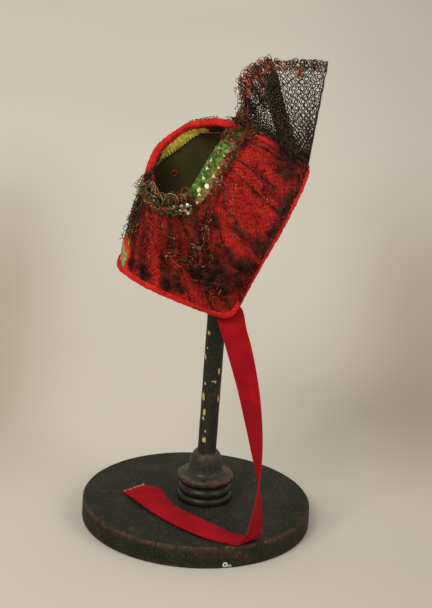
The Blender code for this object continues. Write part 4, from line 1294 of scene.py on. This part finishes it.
# Lines that the loops follow: station, share of the way up, height in mm.
GALLOON_SIDE = (
    (0.5, 0.83, 2.5), (1.1, 0.83, 2.5), (1.6, 0.83, 2.5), (2.15, 0.825, 2.5), (2.9, 0.825, 2.5),
    (3.8, 0.815, 2.5), (4.85, 0.79, 3.0), (5.5, 0.76, 3.0), (6.15, 0.71, 3.0), (6.9, 0.66, 3.0),
)
LOWER_TAIL = (
    (5.5, 0.77, 2.5), (5.8, 0.70, 3.0), (6.3, 0.63, 3.0), (6.9, 0.57, 3.0), (7.4, 0.51, 3.0),
    (8.0, 0.47, 3.0), (8.5, 0.46, 3.0), (8.9, 0.50, 2.5), (8.7, 0.58, 2.5), (8.0, 0.60, 2.5),
)
SEAM_TOP = (
    (0.3, 0.76, 2.0), (0.3, 0.81, 2.5), (0.1, 0.86, 3.0), (0.0, 0.93, 4.0),
    (0.5, 0.90, 3.0), (1.0, 0.86, 3.0),
)
BACK_EDGE = (
    (11.4, 0.98, 2.5), (11.45, 0.88, 2.0), (11.5, 0.76, 2.0), (11.5, 0.62, 1.5), (11.5, 0.48, 1.5),
    (11.45, 0.38, 1.5),
)
NEAR_RIM = (
    (5.8, 0.90, 3.0), (6.4, 0.93, 3.0), (7.2, 0.95, 3.0), (8.0, 0.96, 3.0), (9.0, 0.96, 3.0),
    (10.0, 0.95, 3.0), (11.0, 0.95, 3.0), (11.5, 0.97, 3.0),
)
BROW_RIM = ((0.2, 1.00, 1.5), (0.6, 1.02, 2.0), (1.0, 1.02, 2.0), (1.5, 1.00, 1.5))
FAR_BAND = [(station, 0.74, 3.5) for station in np.linspace(0.4, 11.0, 14)]
FAR_RIM = [(station, 0.99, 1.3) for station in np.linspace(0.2, 6.0, 12)]
# Loose curly ends on the near side.
COLOURED_ENDS = (
    # station, share up, half of each, ends of rust, red, olive, cream, pink
    (0.80, 0.86, 0.80, 0.06, (16, 10, 18, 2, 2)), (2.30, 0.84, 0.90, 0.05, (20, 14, 16, 7, 5)),
    (3.80, 0.82, 0.80, 0.05, (20, 14, 12, 8, 5)), (2.60, 0.98, 2.00, 0.03, (6, 4, 12, 3, 0)),
    (5.00, 0.76, 0.60, 0.07, (14, 12, 6, 7, 2)), (5.90, 0.70, 0.50, 0.08, (16, 10, 4, 7, 2)),
    (6.90, 0.62, 0.50, 0.08, (14, 8, 3, 5, 2)), (8.00, 0.50, 0.80, 0.08, (20, 8, 3, 3, 2)),
    (7.20, 0.55, 0.40, 0.10, (10, 5, 2, 2, 0)), (6.60, 0.92, 0.90, 0.09, (10, 6, 16, 9, 0)),
    (8.20, 0.94, 0.90, 0.08, (8, 4, 24, 8, 0)), (9.80, 0.94, 0.90, 0.08, (6, 3, 26, 6, 0)),
    (11.2, 0.92, 0.60, 0.09, (5, 3, 18, 4, 0)), (7.80, 1.03, 1.40, 0.04, (8, 4, 8, 10, 0)),
    (10.3, 1.03, 1.20, 0.04, (10, 4, 12, 7, 0)), (0.40, 0.82, 0.30, 0.08, (10, 8, 12, 2, 2)),
    (0.20, 0.94, 0.40, 0.08, (10, 10, 16, 3, 0)), (1.20, 0.93, 0.80, 0.06, (8, 6, 24, 0, 2)),
    (0.60, 0.98, 0.50, 0.04, (4, 6, 14, 0, 2)), (9.60, 0.55, 1.60, 0.30, (10, 22, 4, 3, 6)),
    (2.60, 0.45, 2.30, 0.34, (8, 24, 0, 3, 0)), (6.80, 0.25, 1.50, 0.18, (8, 14, 2, 2, 0)),
    (11.7, 0.75, 0.30, 0.25, (5, 6, 8, 2, 0)),
)
# Fibres of the wool that come up through the net: place as above, number.
WOOL_FIBRES = (
    (2.6, 0.45, 2.4, 0.33, 150), (9.9, 0.48, 1.4, 0.36, 70), (7.4, 0.20, 1.6, 0.12, 30),
)
# Wider loops that stand above the near rim: colour, then stations and shares of the way up.
RIM_LOOPS = (
    ("rust", ((10.9, 1.00), (10.7, 1.07), (10.1, 1.09), (9.4, 1.06), (9.1, 1.00))),
    ("cream", ((11.2, 0.96), (11.1, 1.04), (10.6, 1.06), (10.3, 1.02), (10.4, 0.96))),
    ("cream", ((8.7, 1.00), (8.3, 1.05), (7.7, 1.06), (7.2, 1.03), (7.3, 0.98))),
    ("rust", ((9.4, 1.00), (9.0, 1.05), (8.5, 1.06), (8.1, 1.02), (8.2, 0.97))),
    ("pink", ((7.6, 0.99), (7.0, 1.04), (6.5, 1.03), (6.4, 0.98), (6.8, 0.94))),
    ("cream", ((10.0, 0.97), (9.6, 1.02), (9.1, 1.03), (8.8, 0.99), (9.0, 0.95))),
    ("cream", ((10.8, 0.99), (10.5, 1.08), (9.9, 1.08), (9.7, 1.01), (10.0, 0.96))),
    ("rust", ((6.9, 0.98), (6.5, 1.06), (6.1, 1.07), (5.8, 1.02), (6.0, 0.97))),
)
# Hairs and ends that stand out along the back edge, and a tuft above its top.
BACK_HAIRS = (
    # lowest and highest share up, how far up and (in mm) out they reach, number, colours
    (0.30, 1.00, 0.004, 6.0, 46, ("black", "olive", "black")),
    (0.98, 1.03, 0.26, 2.0, 56, ("brown", "black", "red", "black")),
)
RUCHE_HEM = ((1.7, 0.72), (2.2, 0.765), (2.6, 0.81), (3.1, 0.86), (3.7, 0.90))
# Loose curly ends on the frill, mostly along its rear edge.
FRILL_ENDS = (
    # share, height, half of each, half thickness, ends of brown, rust, red, olive, pink
    (0.70, 0.84, 0.20, 0.11, 4.0, (60, 20, 12, 8, 30)), (0.93, 0.66, 0.06, 0.24, 4.0, (40, 16, 8, 8, 22)),
    (0.50, 0.93, 0.08, 0.05, 4.0, (20, 8, 8, 4, 8)), (0.22, 0.94, 0.22, 0.04, 0.8, (26, 8, 4, 4, 6)),
    (0.22, 0.88, 0.035, 0.045, 0.8, (8, 2, 3, 0, 12)), (0.95, 0.35, 0.06, 0.22, 4.0, (10, 5, 5, 12, 2)),
)
# Loops of the frill's top: first and last share, height of their feet, half width, how tall, number.
TOP_LOOPS = (
    (0.01, 0.44, 0.955, 0.018, 0.045, 15, ("brown", "brown", "black", "pink")),
    (0.02, 0.42, 0.900, 0.014, 0.050, 14, ("brown", "pink", "olive")),
    (0.43, 0.78, 0.880, 0.011, 0.130, 34, ("brown", "pink", "brown", "rust", "black")),
    (0.43, 0.74, 0.800, 0.011, 0.120, 24, ("brown", "pink", "brown")),
    (0.84, 0.98, 0.820, 0.016, 0.150, 16, ("brown", "pink", "black", "rust")),
)
# Stray hairs of net that stand out behind the frill: share, height, reach in mm.
STRAY_HAIRS = ((1.02, 0.62, 9.0), (1.04, 0.50, 14.0), (1.03, 0.34, 10.0), (1.05, 0.20, 12.0))

thread_strands = {colour: [] for colour in THREAD_COLOURS}


def add_thread(colour, path, radius):
    thread_strands[colour].append((path, radius))


def smooth_path(rows, count):
    """Points evenly along a smooth line through a few."""
    rows = np.asarray(rows, float)
    return smooth_rows(rows, np.linspace(0, len(rows) - 1, count))


def curl(line, loops, size, spread, chance):
    """A thread that curls in uneven loops along a line of points."""
    count = int(loops * 9) + 4
    at = np.linspace(0, len(line) - 1, count)
    centre = np.stack([np.interp(at, np.arange(len(line)), line[:, k]) for k in range(3)], -1)
    tangent = np.gradient(centre, axis=0)
    tangent /= np.linalg.norm(tangent, axis=1, keepdims=True) + 1e-12
    t = np.linspace(0, 1, count)
    slow = []
    for _ in range(5):
        waves = [np.sin(rate * t * loops + chance.uniform(0, 6.28)) for rate in (0.7, 1.3, 2.1)]
        slow.append(sum(waves) / 3)
    side = np.stack(slow[:3], -1) + chance.normal(0, 0.4, 3)
    side -= tangent * (side * tangent).sum(1, keepdims=True)
    side /= np.linalg.norm(side, axis=1, keepdims=True) + 1e-12
    angle = 2 * math.pi * loops * t + chance.uniform(0, 6.28) + 1.2 * slow[3]
    radius = size * (0.75 + 0.45 * slow[4])[:, None]
    offset = np.cross(tangent, side) * slow[3][:, None] * spread
    return centre + offset + radius * (np.cos(angle)[:, None] * tangent + np.sin(angle)[:, None] * side)


def side_line(rows, count=60, near=True):
    """World points along a line on the near or the far side."""
    path = smooth_path(rows, count)
    station = LOOP - path[:, 0] if near else path[:, 0]
    return on_cap(station, path[:, 1], NET_LEVEL + path[:, 2] * MM)


def add_curls(line, spread, chance, **amounts):
    """Loops along a line: for each colour, how many threads, loops on each, size and thickness."""
    for colour, (count, loops, size, thick) in amounts.items():
        for _ in range(count):
            first, last = sorted(chance.uniform(0, 1, 2))
            last = min(max(last, first + 0.35), 1.0)
            start = int(first * len(line))
            piece = line[start:max(int(last * len(line)), start + 4)]
            if len(piece) < 4:
                continue
            share = len(piece) / len(line)
            moved = piece + chance.normal(0, spread * MM, 3)
            path = curl(moved, max(loops * share, 1.5), size * MM, spread * MM, chance)
            add_thread(colour, path, thick * MM * chance.uniform(0.8, 1.2))


chance = np.random.default_rng(91)
add_curls(
    side_line(GALLOON_SIDE), 2.6, chance,
    red=(4, 22, 1.9, 0.33), rust=(5, 20, 2.0, 0.33), olive=(4, 20, 2.0, 0.33), black=(4, 24, 2.2, 0.30),
)
add_curls(
    side_line(LOWER_TAIL), 4.2, chance,
    red=(3, 14, 2.4, 0.30), rust=(6, 15, 2.6, 0.33), cream=(1, 9, 2.2, 0.28), black=(3, 20, 2.8, 0.33),
)
add_curls(
    side_line(SEAM_TOP), 3.0, chance,
    red=(4, 12, 2.3, 0.33), rust=(4, 12, 2.3, 0.33), olive=(4, 12, 2.3, 0.33), black=(4, 14, 2.6, 0.33),
)
add_curls(
    side_line(BACK_EDGE), 1.2, chance,
    black=(5, 26, 1.9, 0.30), olive=(3, 14, 1.6, 0.30), red=(2, 14, 1.6, 0.30),
)
add_curls(
    side_line(NEAR_RIM), 3.6, chance,
    olive=(6, 18, 2.3, 0.42), red=(2, 14, 2.6, 0.40), brown=(3, 14, 2.6, 0.42), cream=(2, 10, 2.6, 0.38),
    pink=(2, 10, 2.8, 0.40),
)
add_curls(
    side_line(BROW_RIM), 1.3, chance,
    purple=(5, 9, 2.2, 0.50), red=(3, 9, 2.2, 0.40), olive=(4, 9, 2.2, 0.40), brown=(2, 9, 2.2, 0.40),
)
add_curls(
    side_line(FAR_BAND, 80, False), 2.4, chance,
    red=(5, 30, 2.0, 0.33), rust=(5, 30, 2.0, 0.33), olive=(5, 30, 2.0, 0.33), black=(8, 34, 2.0, 0.33),
)
add_curls(side_line(FAR_RIM, 80, False), 0.8, chance, olive=(8, 26, 1.1, 0.40))
# The frill's top behind the fold, and the upper part of its rear edge.
rear_share = np.concatenate((np.linspace(0.42, 0.95, 50), np.full(14, 0.95)))
rear_height = np.concatenate((np.full(50, 0.97), np.linspace(0.97, 0.35, 14)))
add_curls(
    fan_at(rear_share, rear_height), 3.2, chance,
    red=(1, 20, 2.0, 0.36), brown=(4, 18, 2.2, 0.42), pink=(3, 16, 2.2, 0.42), black=(3, 22, 2.0, 0.36),
)

for *place, counts in COLOURED_ENDS:
    for colour, count in zip(("rust", "red", "olive", "cream", "pink"), counts):
        for path in tangle(place, count, 9.0, 1.0, 2.6, chance):
            add_thread(colour, path, END_RADIUS * chance.uniform(0.75, 1.2))
for *place, count in WOOL_FIBRES:
    for path in tangle(place, count, 5.0, 0.6, 0.8, chance, 7):
        add_thread("wool", path, END_RADIUS * chance.uniform(0.7, 1.2))
for colour, rows in RIM_LOOPS:
    loop = smooth_path(rows, 22)
    height = NET_LEVEL + (3.0 + chance.uniform(0, 1.5)) * MM
    add_thread(colour, on_cap(LOOP - loop[:, 0], loop[:, 1], height), RIM_LOOP_RADIUS)
for low, high, stand, reach, count, colours in BACK_HAIRS:
    for k in range(count):
        t = np.linspace(0.0, 1.0, 9)
        station = chance.uniform(11.35, 11.95) + chance.normal(0.0, 0.10) * t + 0.06 * np.sin(t * 6)
        share = chance.uniform(low, high) + stand * t * chance.uniform(0.5, 1.1)
        share = share + chance.normal(0.0, 0.02) * t
        out = NET_LEVEL + (1.0 + chance.uniform(0.4, 1.0) * reach * t) * MM
        add_thread(colours[k % len(colours)], on_cap(LOOP - station, share, out), HAIR_RADIUS)

# Purple-red loops along the ruche near the brow, and one orange curl caught on the lining.
inner = TAPE_INNER - 1.4 * MM
ruche_hem = smooth_path(RUCHE_HEM, 60)
dip = 0.022 * np.sin(np.linspace(0, 1, 6) * math.pi)
for k in range(10):
    station, share = ruche_hem[6 * k:6 * k + 6].T
    add_thread("purple", on_cap(station, share - dip, inner), 0.6 * MM)
    add_thread("purple", on_cap(station + 0.1, share + 0.4 * dip, inner), 0.7 * MM)
add_thread("pink", on_cap(ruche_hem[:, 0], ruche_hem[:, 1] + 0.012, inner - 0.5 * MM), 0.4 * MM)
t = np.linspace(0, 1, 30)
curl_station = 7.9 + (0.15 + 0.22 * t) * np.cos(2 + t * 7.5)
curl_share = 0.73 + (0.012 + 0.016 * t) * np.sin(2 + t * 7.5)
add_thread("orange", on_cap(curl_station, curl_share, -2.4 * MM), 0.60 * MM)

for *place, counts in FRILL_ENDS:
    for colour, count in zip(("brown", "rust", "red", "olive", "pink"), counts):
        for path in frill_tangle(place, count, 7.5, 0.9, chance):
            add_thread(colour, path, FRILL_END_RADIUS * chance.uniform(0.75, 1.2))
for first, last, height, wide, tall, count, colours in TOP_LOOPS:
    for k in range(count):
        turn = np.linspace(0.0, 2 * math.pi, 13)
        size = chance.uniform(0.6, 1.2)
        share = first + (last - first) * (k + chance.uniform(0.0, 1.0)) / count
        across = share + size * wide * np.sin(turn) + chance.normal(0.0, 0.006) * (1 - np.cos(turn))
        up = height + size * tall * (1 - np.cos(turn)) / 2
        aside = chance.uniform(-0.8, 0.8) * MM * (4.0 if first > 0.4 else 1.0)
        add_thread(colours[k % len(colours)], fan_at(across, up, aside), FRILL_END_RADIUS)
for share, height, reach in STRAY_HAIRS:
    for _ in range(3):
        t = np.linspace(0, 1, 12)
        wave = chance.normal(0, 0.012, 2)
        out = share + t * reach * MM / 0.1 + wave[0] * np.sin(t * 7)
        add_thread("black", fan_at(out, height + wave[1] * 4 * t + 0.05 * t * t), STRAY_HAIR_RADIUS)

for colour, (light, dark) in THREAD_COLOURS.items():
    yarn = Finish(colour + "_thread", roughness=0.9, gloss=0.05)
    yarn.paint(light, (yarn.place.noise(420.0, 2.0).step(0.38, 0.62), dark))
    yarn.bump(yarn.place.noise(2500.0, 2.0), 0.0002, 0.6)
    threads = tube_mesh(colour + "_threads", thread_strands[colour])
    covered = ("border_near", "border_far") if colour == "rust" else ()
    dress(threads, colour + "_threads", yarn, "coloured_threads", *covered)

# Tie
# A soft plain red woven ribbon sewn inside the near chin corner. It hangs, turns edge on, folds over
# where it meets the base and lies across it, with its cut end frayed to gold threads.

TIE_WIDTH = 27.0 * MM
TIE_THICKNESS = 1.0 * MM
# Middle of the ribbon in mm, the way its width points in degrees, and its width as a share.
TIE_ROUTE = np.array((
    # x, y, z, turn, width
    (19.5, -26.5, 245.2, 6.0, 0.75),
    (22.2, -23.6, 238.2, 6.0, 1.00),
    (27.0, -29.8, 221.8, -6.0, 1.00),
    (33.8, -36.8, 203.4, -13.0, 1.00),
    (45.0, -50.7, 166.5, -33.0, 1.00),
    (53.2, -64.7, 129.6, -52.0, 1.00),
    (57.6, -75.6, 100.9, -70.0, 1.00),
    (60.2, -85.7, 74.3, -92.0, 1.00),
    (60.1, -94.2, 51.7, -113.0, 1.00),
    (58.9, -98.9, 39.4, -122.0, 1.00),
    (56.4, -101.2, 33.3, -135.4, 1.00),
    (53.2, -98.0, 25.5, -135.4, 1.00),
    (39.6, -94.1, 25.0, -135.4, 1.00),
    (30.6, -92.0, 25.6, -135.4, 1.00),
    (22.6, -88.8, 26.1, -135.4, 1.00),
    (13.9, -82.0, 26.5, -135.4, 1.08),
    (-6.1, -62.0, 25.6, -135.4, 1.12),
    (-28.2, -39.7, 25.6, -135.4, 1.04),
    (-40.0, -22.7, 26.5, -135.4, 1.15),
    (-45.2, -12.4, 26.4, -135.4, 1.28),
    (-51.2, -0.6, 25.8, -135.4, 1.33),
    (-64.4, 12.8, 24.3, -135.4, 1.06),
))


def tie_place(u, v):
    row = smooth_rows(TIE_ROUTE, u * (len(TIE_ROUTE) - 1))
    turn = np.radians(row[:, 3])
    across = np.stack((np.cos(turn), np.sin(turn), np.zeros_like(turn)), -1)
    side = ((v - 0.5) * TIE_WIDTH * row[:, 4])[:, None]
    points = row[:, :3] * MM + across * side
    points[:, 2] += 0.35 * MM * ripple(u * 30, v * 4, 14) * np.clip((u - 0.5) * 4, 0, 1) + 0.3 * MM
    # Soft waves where it hangs, and creases towards its free end.
    hanging = np.clip(1 - (u - 0.45) * 12, 0, 1) * np.clip(u * 12, 0, 1)
    facing = np.stack((-np.sin(turn), np.cos(turn), np.zeros_like(turn)), -1)
    points += facing * (0.7 * MM * ripple(u * 9, v * 2.5, 19) * hanging)[:, None]
    points[:, 2] += 1.6 * MM * np.abs(ripple(u * 60, v * 5, 16)) * np.clip((u - 0.80) * 8, 0, 1)
    return points


tie = thickened(shaped_grid(420, 16, tie_place), TIE_THICKNESS, 0.0)
tie_red = Finish("red_ribbon", roughness=0.85, gloss=0.08)
tie_weave = tie_red.map.stretched(380.0, 30.0, 1.0)
rib = (tie_weave.part(0) * 6.2832).sine() * (tie_weave.part(1) * 6.2832).sine() * 0.5 + 0.5
cut_end = tie_red.map.part(0).step(0.988, 0.999) * tie_red.place.noise(260.0, 2.0).step(0.4, 0.6)
tie_red.paint(
    (134, 10, 18),
    (tie_red.place.noise(40.0, 3.0).step(0.35, 0.65), (152, 14, 24)),
    (rib * 0.3, (104, 6, 14)),
    (cut_end, (196, 158, 104)),
)
tie_red.bump(rib * 0.7 + tie_red.place.noise(900.0, 2.0) * 0.3, 0.0003, 0.6)
dress(tie, "tie_ribbon", tie_red, "red_tie", "tie")
